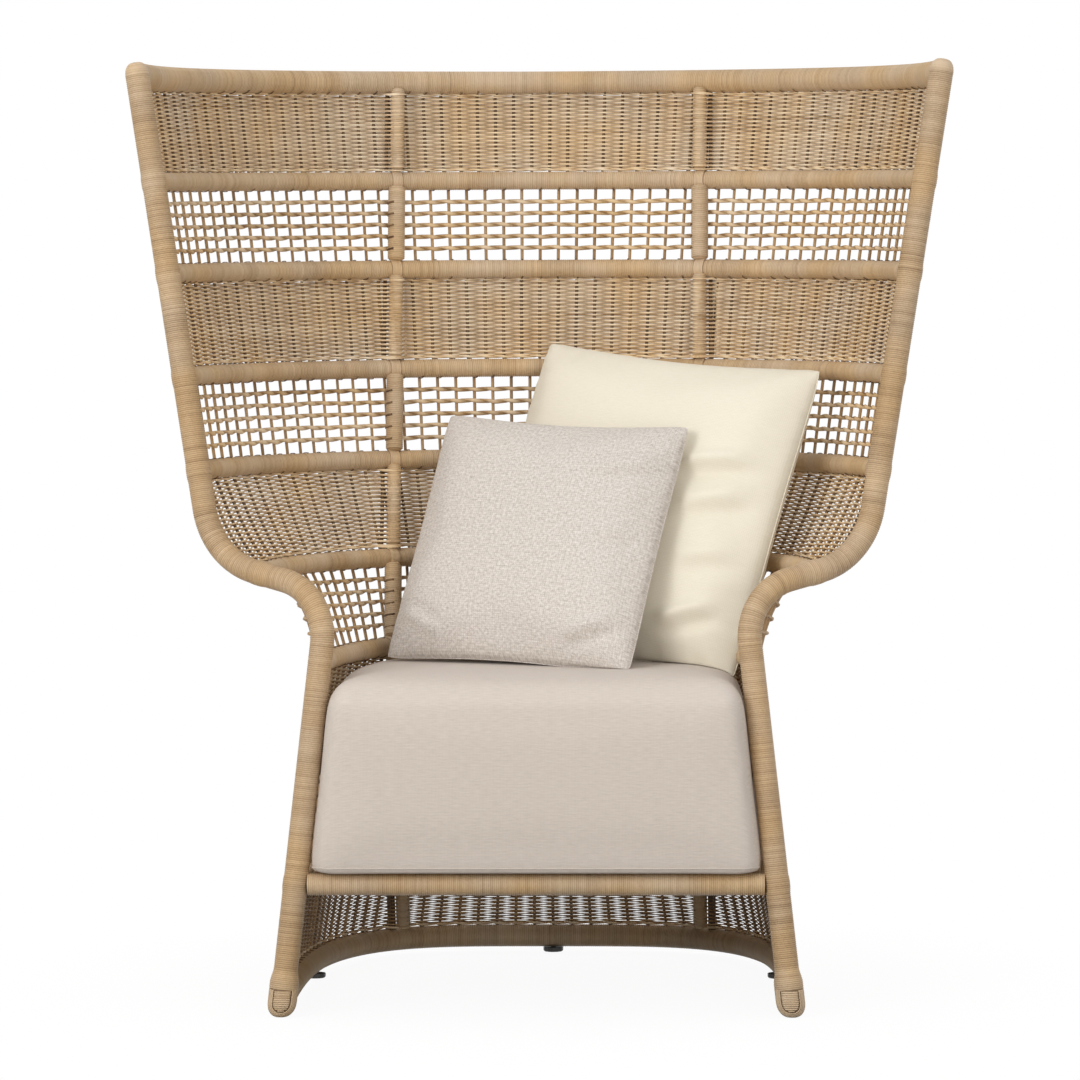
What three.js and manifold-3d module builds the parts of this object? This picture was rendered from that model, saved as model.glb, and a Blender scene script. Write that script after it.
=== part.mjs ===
import * as THREE from 'three';
import { mergeVertices } from 'three/addons/utils/BufferGeometryUtils.js';
import Module from 'manifold-3d';

// Peacock chair: a high, flared armchair of aluminium tube wound with flat synthetic fibre,
// woven bands between its hoops, a thick seat cushion and two loose pillows.
// Millimetres, Z up, the sitter looks toward -Y, and X runs to the right for someone who faces the chair.

// Driving sizes
const CLEAR = 0.3;                 // gap left where two pieces touch
const BORE_CLEAR = 0.6;            // gap between a bent core and the winding around it

const MAIN_R = 18.5;               // wound radius of the rims, top rail and base ring
const MAIN_CORE_R = 14;            // bare tube inside them
const HOOP_R = 15;                 // wound radius of the hoops
const RIB_R = 15;                  // wound radius of the ribs
const RIB_CORE_R = 11;
const RAIL_R = 17;                 // wound radius of the front rail
const RAIL_CORE_R = 12.5;

const TOP_RAIL_Z = 1400;           // centre line heights
const SEAT_RING_Z = 520;
const DECK_RING_Z = 200;
const BASE_RING_Z = 26;
const ROW_SHARES = [157, 140, 156, 142, 150, 135];   // how the rows share the height from the top rail down to the seat ring

const FOOT_HALF = 381;             // rim centre line at the floor
const WAIST_HALF = 311;            // where the leg line meets the shelf of the S-bend
const SHOULDER_HALF = 492.5;       // where the shelf meets the wing line
const WING_HALF = 612.5;           // wing tip
const WAIST_Y = 57;                // the same three points, behind the feet
const SHOULDER_Y = 158;
const WING_Y = 261;
const WAIST_DROP = 26;             // the waist below the fifth hoop, the shoulder above it, the tip above the top rail
const SHOULDER_RISE = 19;
const TIP_RISE = 17;
const WAIST_BEND_R = 92;
const SHOULDER_BEND_R = 120;

const BACK_TOP_Y = 789;            // back centre line of the shell at the top rail, seat ring and base ring
const BACK_SEAT_Y = 557;
const BACK_BASE_Y = 788;
const BACK_BEND = 70;              // how softly the back bends at the seat
const PLAN_UPPER = 1.95;           // plan roundness of the hoops: 2 is an ellipse, more is squarer
const PLAN_BASE = 3.7;

const RIB_HALF = 244;              // the two upright ribs
const RIB_INSET = 9;               // they stand this far inside the hoops' centre lines
const BAND_OUTSET = 10;            // the weave runs behind the ribs
const DENSE_THICK = 4;
const OPEN_THICK = 4;
const STRAND = 6;                  // width of a strand bundle in the open rows

const SHOE_R = 23.5;               // wound foot
const SHOE_HEIGHT = 66;
const SHOE_FLOOR = 12;

const GLIDE_R = 16;
const GLIDE_SIDE_Y = 450;
const DECK_THICK = 6;
const BAR_R = 10;
const BAR_HALF = 130;
const FRONT_RAIL_DROP = 3.5;       // the front rail lies this much lower than the deck ring

const CUSHION_TOP = 487;           // shoulder of the seat cushion, before its crown
const CUSHION_CROWN = 18;
const CUSHION_FRONT = -22;
const CUSHION_BACK_GAP = 46;       // from the back hoops' centre line
const CUSHION_CORNER = 34;         // plan radius of its front corners
const CUSHION_BEND_Y = 150;        // its sides run straight back to here, then round the back
const CUSHION_ROLL = 16;           // how far its top and bottom edges roll in
const SMALL_SIDE = 400, SMALL_THICK = 120;
const LARGE_SIDE = 490, LARGE_THICK = 150;
const SMALL_X = -6, LARGE_X = 149; // where the loose pillows lean, across the seat
const COVER = 4;                   // cloth and wadding
const SEAM = 15;                   // how far a pillow's filling stays inside its seams
const ZIP = 3;                     // slit of a zip

const RIM_STEPS = 20, HOOP_STEPS = 12;

// Solids
const wasm = await Module();
wasm.setup();

function solid(geometry) {
  const bare = geometry.clone();
  bare.deleteAttribute('normal');
  bare.deleteAttribute('uv');
  const welded = mergeVertices(bare, 1e-3);
  const p = welded.getAttribute('position').array;
  const index = welded.index.array;
  const tri = [];
  let volume = 0;
  for (let i = 0; i < index.length; i += 3) {
    const [a, b, c] = [index[i], index[i + 1], index[i + 2]];
    if (a === b || b === c || a === c) continue;
    tri.push(a, b, c);
    const A = new THREE.Vector3().fromArray(p, a * 3), B = new THREE.Vector3().fromArray(p, b * 3), C = new THREE.Vector3().fromArray(p, c * 3);
    volume += A.dot(B.cross(C));
  }
  if (volume < 0) for (let i = 0; i < tri.length; i += 3) [tri[i + 1], tri[i + 2]] = [tri[i + 2], tri[i + 1]];
  return new wasm.Manifold(new wasm.Mesh({ numProp: 3, vertProperties: new Float32Array(p), triVerts: new Uint32Array(tri) }));
}

// Cuts tools out of a body and keeps the piece itself, without the slivers that a coped end can leave
function cut(body, ...tools) {
  const left = tools.reduce((rest, tool) => rest.subtract(tool), body);
  return left.decompose().reduce((a, b) => (b.volume() > a.volume() ? b : a));
}

function toGeometry(body) {
  const mesh = body.getMesh();
  const geometry = new THREE.BufferGeometry();
  const p = new Float32Array(mesh.numVert * 3);
  for (let i = 0; i < mesh.numVert; i++) for (let k = 0; k < 3; k++) p[i * 3 + k] = mesh.vertProperties[i * mesh.numProp + k];
  geometry.setAttribute('position', new THREE.BufferAttribute(p, 3));
  geometry.setIndex(new THREE.BufferAttribute(new Uint32Array(mesh.triVerts), 1));
  geometry.computeVertexNormals();
  return geometry;
}

// A path that steps exactly through its stations
class StationPath extends THREE.Curve {
  constructor(points) { super(); this.points = points; }
  getPoint(t, target = new THREE.Vector3()) {
    const last = this.points.length - 1;
    const f = Math.min(Math.max(t, 0), 1) * last;
    const i = Math.min(Math.round(f), last);
    if (Math.abs(f - i) < 1e-6) return target.copy(this.points[i]);
    const k = Math.min(Math.floor(f), last - 1);
    return target.lerpVectors(this.points[k], this.points[k + 1], f - k);
  }
  getPointAt(u, target) { return this.getPoint(u, target); }
  getTangent(t, target = new THREE.Vector3()) {
    const last = this.points.length - 1;
    const i = Math.round(t * last);
    const a = this.points[Math.max(i - 1, 0)], b = this.points[Math.min(i + 1, last)];
    return target.subVectors(b, a).normalize();
  }
  getTangentAt(u, target) { return this.getTangent(u, target); }
}

function ring(radius, sides, turn = 0.5) {
  const points = [];
  for (let i = 0; i < sides; i++) {
    const angle = 2 * Math.PI * (i + turn) / sides;
    points.push(new THREE.Vector2(radius * Math.cos(angle), radius * Math.sin(angle)));
  }
  return points;
}

// A round bar, or a sleeve when it has a bore, along stations
function bar(points, radius, sides = 8, bore = 0, boreSides = 8) {
  const shape = new THREE.Shape(ring(radius, sides));
  if (bore) shape.holes.push(new THREE.Path(ring(bore, boreSides)));
  return solid(new THREE.ExtrudeGeometry(shape, { steps: points.length - 1, bevelEnabled: false, extrudePath: new StationPath(points) }));
}
const grown = (radius, sides) => radius + CLEAR / Math.cos(Math.PI / sides);

function lathe(profile, segments) {
  const geometry = new THREE.LatheGeometry(profile.map(([r, z]) => new THREE.Vector2(r, z)), segments);
  geometry.rotateX(Math.PI / 2);
  return geometry;
}

const box = (sx, sy, sz, x, y, z) => solid(new THREE.BoxGeometry(sx, sy, sz).translate(x, y, z));
const mirrored = (points) => points.map((v) => new THREE.Vector3(-v.x, v.y, v.z));

// Spreads stations along a fine line, half by length and half by how much it turns
function stations(fine, count) {
  const weight = [0];
  let length = 0, turning = 0;
  const lengths = [], turns = [];
  for (let i = 1; i < fine.length; i++) {
    const step = fine[i].distanceTo(fine[i - 1]);
    let turn = 0;
    if (i < fine.length - 1) {
      const a = fine[i].clone().sub(fine[i - 1]), b = fine[i + 1].clone().sub(fine[i]);
      turn = a.angleTo(b);
    }
    lengths.push(step); turns.push(turn);
    length += step; turning += turn;
  }
  for (let i = 0; i < lengths.length; i++) weight.push(weight[i] + lengths[i] / length + turns[i] / Math.max(turning, 1e-9));
  const total = weight[weight.length - 1];
  const out = [];
  for (let k = 0, i = 0; k <= count; k++) {
    const want = total * k / count;
    while (i < weight.length - 2 && weight[i + 1] < want) i++;
    const f = (want - weight[i]) / Math.max(weight[i + 1] - weight[i], 1e-12);
    out.push(new THREE.Vector3().lerpVectors(fine[i], fine[i + 1], Math.min(Math.max(f, 0), 1)));
  }
  return out;
}

// Heights of the hoops, top down
const hoopZ = [];
const shares = ROW_SHARES.reduce((a, b) => a + b);
ROW_SHARES.reduce((sum, share) => { hoopZ.push(TOP_RAIL_Z - (TOP_RAIL_Z - SEAT_RING_Z) * (sum + share) / shares); return sum + share; }, 0);
hoopZ.push((SEAT_RING_Z + DECK_RING_Z) / 2, DECK_RING_Z);
const SHELF_Z = hoopZ[4];          // the fifth hoop meets the shelf of the S-bend

// Rim: foot, leg, S-bend, wing, tip
const foot = new THREE.Vector3(FOOT_HALF, 0, 0);
const waist = new THREE.Vector3(WAIST_HALF, WAIST_Y, SHELF_Z - WAIST_DROP);
const shoulder = new THREE.Vector3(SHOULDER_HALF, SHOULDER_Y, SHELF_Z + SHOULDER_RISE);
const tip = new THREE.Vector3(WING_HALF, WING_Y, TOP_RAIL_Z + TIP_RISE);

function fillet(before, corner, after, radius, count) {
  const a = before.clone().sub(corner).normalize(), b = after.clone().sub(corner).normalize();
  const half = a.angleTo(b) / 2;
  const reach = radius / Math.tan(half);
  const centre = a.clone().add(b).normalize().multiplyScalar(radius / Math.sin(half)).add(corner);
  const from = a.multiplyScalar(reach).add(corner).sub(centre), to = b.multiplyScalar(reach).add(corner).sub(centre);
  const sweep = from.angleTo(to), axis = from.clone().cross(to).normalize();
  const out = [];
  for (let i = 0; i <= count; i++) out.push(from.clone().applyAxisAngle(axis, sweep * i / count).add(centre));
  return out;
}

const legDirection = waist.clone().sub(foot).normalize();
const wingDirection = tip.clone().sub(shoulder).normalize();
const legStart = foot.clone().addScaledVector(legDirection, SHOE_FLOOR / legDirection.z);
const rimFine = [];
{
  const turns = [legStart, ...fillet(foot, waist, shoulder, WAIST_BEND_R, 40), ...fillet(waist, shoulder, tip, SHOULDER_BEND_R, 40), tip];
  for (let i = 0; i < turns.length - 1; i++) {
    const pieces = Math.max(1, Math.round(turns[i].distanceTo(turns[i + 1]) / 5));
    for (let k = 0; k < pieces; k++) rimFine.push(new THREE.Vector3().lerpVectors(turns[i], turns[i + 1], k / pieces));
  }
  rimFine.push(tip.clone());
}
const rimRight = stations(rimFine, RIM_STEPS);
const rimRightLong = [foot.clone().addScaledVector(legDirection, -40), ...rimRight, tip.clone().addScaledVector(wingDirection, 60)];

function rimAt(z) {
  for (let i = 0; i < rimRightLong.length - 1; i++) {
    const a = rimRightLong[i], b = rimRightLong[i + 1];
    if (z >= a.z && z <= b.z) return new THREE.Vector3().lerpVectors(a, b, (z - a.z) / (b.z - a.z));
  }
  return tip.clone();
}

// Shell: its plan at any height
function backY(z) {
  const up = (BACK_TOP_Y - BACK_SEAT_Y) / (TOP_RAIL_Z - SEAT_RING_Z);
  const down = (BACK_BASE_Y - BACK_SEAT_Y) / (SEAT_RING_Z - BASE_RING_Z);
  const h = z - SEAT_RING_Z;
  const soft = Math.sqrt(h * h + BACK_BEND * BACK_BEND) - BACK_BEND * 0.5;
  return BACK_SEAT_Y + (up - down) / 2 * h + (up + down) / 2 * soft;
}
function planPower(z) {
  const f = Math.min(Math.max((SHELF_Z - z) / (SHELF_Z - BASE_RING_Z), 0), 1);
  return PLAN_UPPER + (PLAN_BASE - PLAN_UPPER) * f;
}
// Moves stations outward by half the depth of the arcs that their chords cut off, so that the chords straddle the line
function straddle(points, fine) {
  const nearest = points.map((p) => fine.reduce((best, f, i) => (f.distanceTo(p) < fine[best].distanceTo(p) ? i : best), 0));
  const depth = nearest.slice(1).map((end, k) => {
    const middle = fine[Math.round((nearest[k] + end) / 2)];
    return new THREE.Line3(points[k], points[k + 1]).closestPointToPoint(middle, true, new THREE.Vector3()).distanceTo(middle);
  });
  return points.map((p, k) => {
    if (k === 0 || k === points.length - 1) return p;
    const run = points[k + 1].clone().sub(points[k - 1]).normalize();
    return p.clone().addScaledVector(new THREE.Vector3(-run.y, run.x, 0), (depth[k - 1] + depth[k]) / 4);
  });
}
function levelLine(z) {
  const side = rimAt(z), back = backY(z), power = planPower(z);
  const fine = [];
  for (let i = 0; i <= 480; i++) {
    const angle = Math.PI * (i / 480 - 0.5);
    const s = Math.sin(angle), c = Math.max(Math.cos(angle), 0);
    fine.push(new THREE.Vector3(side.x * Math.sign(s) * Math.abs(s) ** (2 / power), side.y + (back - side.y) * c ** (2 / power), z));
  }
  return straddle(stations(fine, HOOP_STEPS), fine);
}
// Between two hoops the shell runs straight from one to the other, and its sides keep to the rims
const ringZ = [TOP_RAIL_Z, ...hoopZ, BASE_RING_Z];
const ringLines = ringZ.map(levelLine);
function shellLine(z) {
  let k = 0;
  while (k < ringZ.length - 2 && z < ringZ[k + 1]) k++;
  const f = (ringZ[k] - z) / (ringZ[k] - ringZ[k + 1]);
  const side = rimAt(z).sub(new THREE.Vector3().lerpVectors(rimAt(ringZ[k]), rimAt(ringZ[k + 1]), f));
  return ringLines[k].map((v, j) => {
    const out = 2 * j / HOOP_STEPS - 1, pull = Math.abs(out) ** 5;
    const at = new THREE.Vector3().lerpVectors(v, ringLines[k + 1][j], f);
    return at.add(new THREE.Vector3(side.x * Math.sign(out) * pull, side.y * pull, 0)).setZ(z);
  });
}
function outward(line) {
  return line.map((_, i) => {
    const a = line[Math.max(i - 1, 0)], b = line[Math.min(i + 1, line.length - 1)];
    const t = b.clone().sub(a).normalize();
    if (i === 0) return new THREE.Vector3(-1, 0, 0);
    if (i === line.length - 1) return new THREE.Vector3(1, 0, 0);
    return new THREE.Vector3(-t.y, t.x, 0).normalize();
  });
}
function along(line, f) {
  const k = Math.min(Math.max(Math.floor(f), 0), line.length - 2);
  return new THREE.Vector3().lerpVectors(line[k], line[k + 1], f - k);
}
function backPoint(z, x) {
  const line = shellLine(z), normals = outward(line);
  for (let i = 0; i < line.length - 1; i++) {
    if (x >= line[i].x && x <= line[i + 1].x) {
      const f = (x - line[i].x) / (line[i + 1].x - line[i].x);
      return { at: new THREE.Vector3().lerpVectors(line[i], line[i + 1], f), normal: new THREE.Vector3().lerpVectors(normals[i], normals[i + 1], f).normalize() };
    }
  }
  return null;
}
function ribLine(side) {
  const line = [...ringZ].reverse().map((z) => {
    const { at, normal } = backPoint(z, RIB_HALF);
    return at.addScaledVector(normal, -RIB_INSET);
  });
  return side < 0 ? mirrored(line) : line;
}

// Straight sheets between two hoops, following the shell; a mask leaves holes
function sheet(levels, columns, outset, thick, isSolid = () => true) {
  const front = [], back = [];
  for (const z of levels) {
    const line = shellLine(z), normals = outward(line);
    const inner = line.map((v, i) => v.clone().addScaledVector(normals[i], outset - thick / 2));
    const outer = line.map((v, i) => v.clone().addScaledVector(normals[i], outset + thick / 2));
    front.push(columns.map((f) => along(inner, f)));
    back.push(columns.map((f) => along(outer, f)));
  }
  const rows = levels.length, cols = columns.length;
  const position = [];
  for (const face of [front, back]) for (const row of face) for (const v of row) position.push(v.x, v.y, v.z);
  const id = (face, i, j) => face * rows * cols + i * cols + j;
  const index = [];
  const quad = (a, b, c, d) => index.push(a, b, c, a, c, d);
  const filled = (i, j) => i >= 0 && j >= 0 && i < rows - 1 && j < cols - 1 && isSolid(i, j);
  for (let i = 0; i < rows - 1; i++) for (let j = 0; j < cols - 1; j++) {
    if (!filled(i, j)) continue;
    quad(id(0, i, j), id(0, i, j + 1), id(0, i + 1, j + 1), id(0, i + 1, j));
    quad(id(1, i, j), id(1, i + 1, j), id(1, i + 1, j + 1), id(1, i, j + 1));
    if (!filled(i - 1, j)) quad(id(0, i, j), id(1, i, j), id(1, i, j + 1), id(0, i, j + 1));
    if (!filled(i + 1, j)) quad(id(0, i + 1, j), id(0, i + 1, j + 1), id(1, i + 1, j + 1), id(1, i + 1, j));
    if (!filled(i, j - 1)) quad(id(0, i, j), id(0, i + 1, j), id(1, i + 1, j), id(1, i, j));
    if (!filled(i, j + 1)) quad(id(0, i, j + 1), id(1, i, j + 1), id(1, i + 1, j + 1), id(0, i + 1, j + 1));
  }
  const geometry = new THREE.BufferGeometry();
  geometry.setAttribute('position', new THREE.BufferAttribute(new Float32Array(position), 3));
  geometry.setIndex(index);
  return solid(geometry);
}

// Colours
const look = {
  core: { color: 0xb9bcc0, roughness: 0.45, metalness: 0.9 },
  wrap: { color: 0xb4915c, roughness: 0.62, metalness: 0 },
  weave: { color: 0xac8a58, roughness: 0.66, metalness: 0 },
  black: { color: 0x1b1a19, roughness: 0.55, metalness: 0 },
  seat: { color: 0xd9cfc0, roughness: 0.9, metalness: 0 },
  boucle: { color: 0xcdbfae, roughness: 0.95, metalness: 0 },
  cream: { color: 0xe2d8c8, roughness: 0.92, metalness: 0 },
  foam: { color: 0xe9e2c8, roughness: 1, metalness: 0 },
};
const chair = new THREE.Group();
chair.name = 'peacock_chair';
function place(name, body, kind) {
  const mesh = new THREE.Mesh(toGeometry(body), new THREE.MeshStandardMaterial(look[kind]));
  mesh.name = name;
  chair.add(mesh);
}

// Frame tubes: centre lines, bare cores, wound sleeves and the slightly grown bodies that others are cut back to
const SIDES = [8, 6];              // facets of a wound tube and of its core
function tube(line, radius, core, longLine = line) {
  const [outerSides, coreSides] = SIDES;
  return {
    core: bar(line, core, coreSides),
    sleeve: bar(line, radius, outerSides, core + BORE_CLEAR / Math.cos(Math.PI / coreSides), coreSides),
    coreGrown: bar(longLine, grown(core, coreSides), coreSides),
    sleeveGrown: bar(longLine, grown(radius, outerSides), outerSides),
  };
}
const rims = [-1, 1].map((side) => tube(side < 0 ? mirrored(rimRight) : rimRight, MAIN_R, MAIN_CORE_R, side < 0 ? mirrored(rimRightLong) : rimRightLong));
const ribs = [-1, 1].map((side) => tube(ribLine(side), RIB_R, RIB_CORE_R));
const topRail = tube(levelLine(TOP_RAIL_Z), MAIN_R, MAIN_CORE_R);
const hoops = hoopZ.map((z) => ({ body: bar(levelLine(z), HOOP_R), grown: bar(levelLine(z), grown(HOOP_R, 8)) }));
const baseRing = tube(levelLine(BASE_RING_Z), MAIN_R, MAIN_CORE_R);
const FRONT_RAIL_Z = DECK_RING_Z - FRONT_RAIL_DROP;
const railEnd = rimAt(FRONT_RAIL_Z);
const frontRail = tube([new THREE.Vector3(-railEnd.x, railEnd.y, FRONT_RAIL_Z), new THREE.Vector3(railEnd.x, railEnd.y, FRONT_RAIL_Z)], RAIL_R, RAIL_CORE_R);

// Feet: wound shoes around the leg ends, flat where they stand
const shoes = [-1, 1].map((side) => {
  const profile = [[0, -4], [15.5, -4], [20.5, 2], [SHOE_R, 12], [SHOE_R, SHOE_HEIGHT - 4], [SHOE_R - 2, SHOE_HEIGHT], [0, SHOE_HEIGHT]];
  const geometry = lathe(profile, 12);
  const direction = new THREE.Vector3(legDirection.x * side, legDirection.y, legDirection.z);
  geometry.applyQuaternion(new THREE.Quaternion().setFromUnitVectors(new THREE.Vector3(0, 0, 1), direction));
  geometry.translate(foot.x * side, foot.y, 0);
  const whole = cut(solid(geometry), box(8 * SHOE_R, 8 * SHOE_R, 2 * SHOE_R, foot.x * side, 0, -SHOE_R));
  const leg = (side < 0 ? mirrored : (v) => v)([legStart.clone().addScaledVector(legDirection, -CLEAR), foot.clone().addScaledVector(legDirection, 200)]);
  return { body: cut(whole, bar(leg, grown(MAIN_R, 8), 8)), grown: (() => {
    const wide = lathe([[0, -40], [SHOE_R + CLEAR, -40], [SHOE_R + CLEAR, SHOE_HEIGHT + CLEAR], [0, SHOE_HEIGHT + CLEAR]], 12);
    wide.applyQuaternion(new THREE.Quaternion().setFromUnitVectors(new THREE.Vector3(0, 0, 1), direction));
    wide.translate(foot.x * side, foot.y, 0);
    return solid(wide);
  })() };
});

// Glides: black discs with a stem pressed up into the base ring
const baseBottom = BASE_RING_Z - MAIN_R;
const baseLine = ringLines[ringLines.length - 1];
function baseAt(y) {
  for (let i = HOOP_STEPS / 2; i < HOOP_STEPS; i++) {
    const a = baseLine[i], b = baseLine[i + 1];
    if (y <= a.y && y >= b.y) return new THREE.Vector3().lerpVectors(a, b, (a.y - y) / (a.y - b.y));
  }
  return baseLine[HOOP_STEPS];
}
const sidePoint = baseAt(GLIDE_SIDE_Y);
const glidePoints = { left: [-sidePoint.x, sidePoint.y], right: [sidePoint.x, sidePoint.y], back: [0, baseLine[HOOP_STEPS / 2].y] };
const STEM_R = 4, STEM_TOP = BASE_RING_Z - 2;
const glides = {}, glideHoles = [];
for (const [name, [x, y]] of Object.entries(glidePoints)) {
  const disc = lathe([[0, 0], [GLIDE_R - 1.5, 0], [GLIDE_R, 2], [GLIDE_R, baseBottom - CLEAR], [STEM_R, baseBottom - CLEAR], [STEM_R, STEM_TOP], [0, STEM_TOP]], 12);
  const hole = lathe([[0, -1], [STEM_R + CLEAR, -1], [STEM_R + CLEAR, STEM_TOP + CLEAR], [0, STEM_TOP + CLEAR]], 12);
  glides[name] = solid(disc.translate(x, y, 0));
  glideHoles.push(solid(hole.translate(x, y, 0)));
}

const rimCores = rims.map((r) => r.coreGrown), rimSleeves = rims.map((r) => r.sleeveGrown);
const ribCores = ribs.map((r) => r.coreGrown), ribSleeves = ribs.map((r) => r.sleeveGrown);
const hoopsGrown = hoops.map((h) => h.grown);

['left', 'right'].forEach((side, k) => {
  place(`rim_core_${side}`, rims[k].core, 'core');
  place(`rim_wrap_${side}`, cut(rims[k].sleeve, topRail.coreGrown, baseRing.coreGrown, frontRail.coreGrown), 'wrap');
  const direction = new THREE.Vector3(wingDirection.x * (k ? 1 : -1), wingDirection.y, wingDirection.z);
  const dome = lathe([[0, CLEAR], [MAIN_R * 0.91, CLEAR], [MAIN_R * 0.78, 4], [MAIN_R * 0.5, 6.2], [0, 7.4]], 10);
  dome.applyQuaternion(new THREE.Quaternion().setFromUnitVectors(new THREE.Vector3(0, 0, 1), direction));
  place(`rim_tip_${side}`, solid(dome.translate(tip.x * (k ? 1 : -1), tip.y, tip.z)), 'wrap');
  place(`foot_shoe_${side}`, cut(shoes[k].body, baseRing.coreGrown), 'wrap');
});

place('top_rail_core', cut(topRail.core, ...rimCores), 'core');
place('top_rail_wrap', cut(topRail.sleeve, ...rimSleeves, ...ribCores), 'wrap');
const hoopNames = ['hoop_1', 'hoop_2', 'hoop_3', 'hoop_4', 'hoop_5', 'seat_ring', 'skirt_hoop', 'deck_ring'];
hoops.forEach((hoop, k) => {
  place(hoopNames[k], cut(hoop.body, ...rimSleeves, ...ribSleeves), 'wrap');
});
place('base_ring_core', cut(baseRing.core, ...rimCores, ...glideHoles), 'core');
place('base_ring_wrap', cut(baseRing.sleeve, shoes[0].grown, shoes[1].grown, ...ribCores, ...glideHoles), 'wrap');
['left', 'right'].forEach((side, k) => {
  place(`rib_core_${side}`, cut(ribs[k].core, topRail.coreGrown, baseRing.coreGrown), 'core');
  place(`rib_wrap_${side}`, cut(ribs[k].sleeve, topRail.sleeveGrown, baseRing.sleeveGrown), 'wrap');
});
place('front_rail_core', cut(frontRail.core, ...rimCores, hoopsGrown[7]), 'core');
place('front_rail_wrap', cut(frontRail.sleeve, ...rimSleeves, hoopsGrown[7]), 'wrap');
for (const [name, body] of Object.entries(glides)) place(`glide_${name}`, body, 'black');

// Woven rows, top down: dense and open by turns
const EDGE_IN = 8;                 // the weave runs this far past the face of a hoop toward its middle
const rimHeights = rimRight.map((v) => v.z);
// Edges of the upright strands, one bundle at each station of the hoops
function strandColumns(z, width) {
  const line = shellLine(z), out = [];
  for (let j = 0; j <= HOOP_STEPS; j++) {
    if (j > 0) out.push(j - width / 2 / line[j].distanceTo(line[j - 1]));
    else out.push(0);
    if (j < HOOP_STEPS) out.push(j + width / 2 / line[j].distanceTo(line[j + 1]));
    else out.push(HOOP_STEPS);
  }
  return out;
}
for (let row = 0; row < ringZ.length - 1; row++) {
  const high = ringZ[row] - EDGE_IN, low = ringZ[row + 1] + EDGE_IN;
  const bends = rimHeights.filter((z) => z > low + 3 && z < high - 3 && Math.abs(z - SHELF_Z) < SHOULDER_BEND_R);
  const open = row % 2 === 1;
  let body;
  if (!open) {
    const levels = [low, ...bends, high].sort((a, b) => a - b);
    const columns = [...Array(HOOP_STEPS + 1).keys()];
    body = sheet(levels, columns, BAND_OUTSET, DENSE_THICK);
  } else {
    const lines = 3;
    const columns = strandColumns((low + high) / 2, STRAND);
    const levels = [low];
    const wall = HOOP_R - EDGE_IN + 4;
    const bottom = low + wall, top = high - wall;
    levels.push(bottom);
    for (let k = 1; k < lines; k++) {
      const z = bottom + (top - bottom) * k / lines;
      levels.push(z - STRAND / 2, z + STRAND / 2);
    }
    levels.push(top, high);
    body = sheet(levels, columns, BAND_OUTSET, OPEN_THICK, (i, j) => i % 2 === 0 || j % 2 === 0);
  }
  const tubes = [row === 0 ? topRail.sleeveGrown : hoopsGrown[row - 1], row === ringZ.length - 2 ? baseRing.sleeveGrown : hoopsGrown[row]];
  const trims = [...tubes, ...rimSleeves];
  if (row === ringZ.length - 2) trims.push(shoes[0].grown, shoes[1].grown);
  place(`weave_${row + 1}_${open ? 'open' : 'dense'}`, cut(body, ...trims), 'weave');
}

// Seat deck inside the deck ring, on two bars
const DECK_TOP = FRONT_RAIL_Z + RAIL_R;
{
  const line = shellLine(DECK_RING_Z);
  const outline = new THREE.Shape(line.map((v) => new THREE.Vector2(v.x, v.y)));
  const plate = new THREE.ExtrudeGeometry(outline, { depth: DECK_THICK, bevelEnabled: false }).translate(0, 0, DECK_TOP - DECK_THICK);
  place('seat_deck', cut(solid(plate), hoopsGrown[7], frontRail.sleeveGrown, ...rimSleeves, ...ribSleeves), 'weave');
  ['left', 'right'].forEach((side, k) => {
    const x = BAR_HALF * (k ? 1 : -1), z = DECK_TOP - DECK_THICK - CLEAR - BAR_R * Math.cos(Math.PI / 8);
    const beam = bar([new THREE.Vector3(x, railEnd.y, z), new THREE.Vector3(x, backPoint(DECK_RING_Z, BAR_HALF).at.y, z)], BAR_R, 8);
    place(`seat_bar_${side}`, cut(beam, frontRail.sleeveGrown, hoopsGrown[7]), 'core');
  });
}

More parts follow.
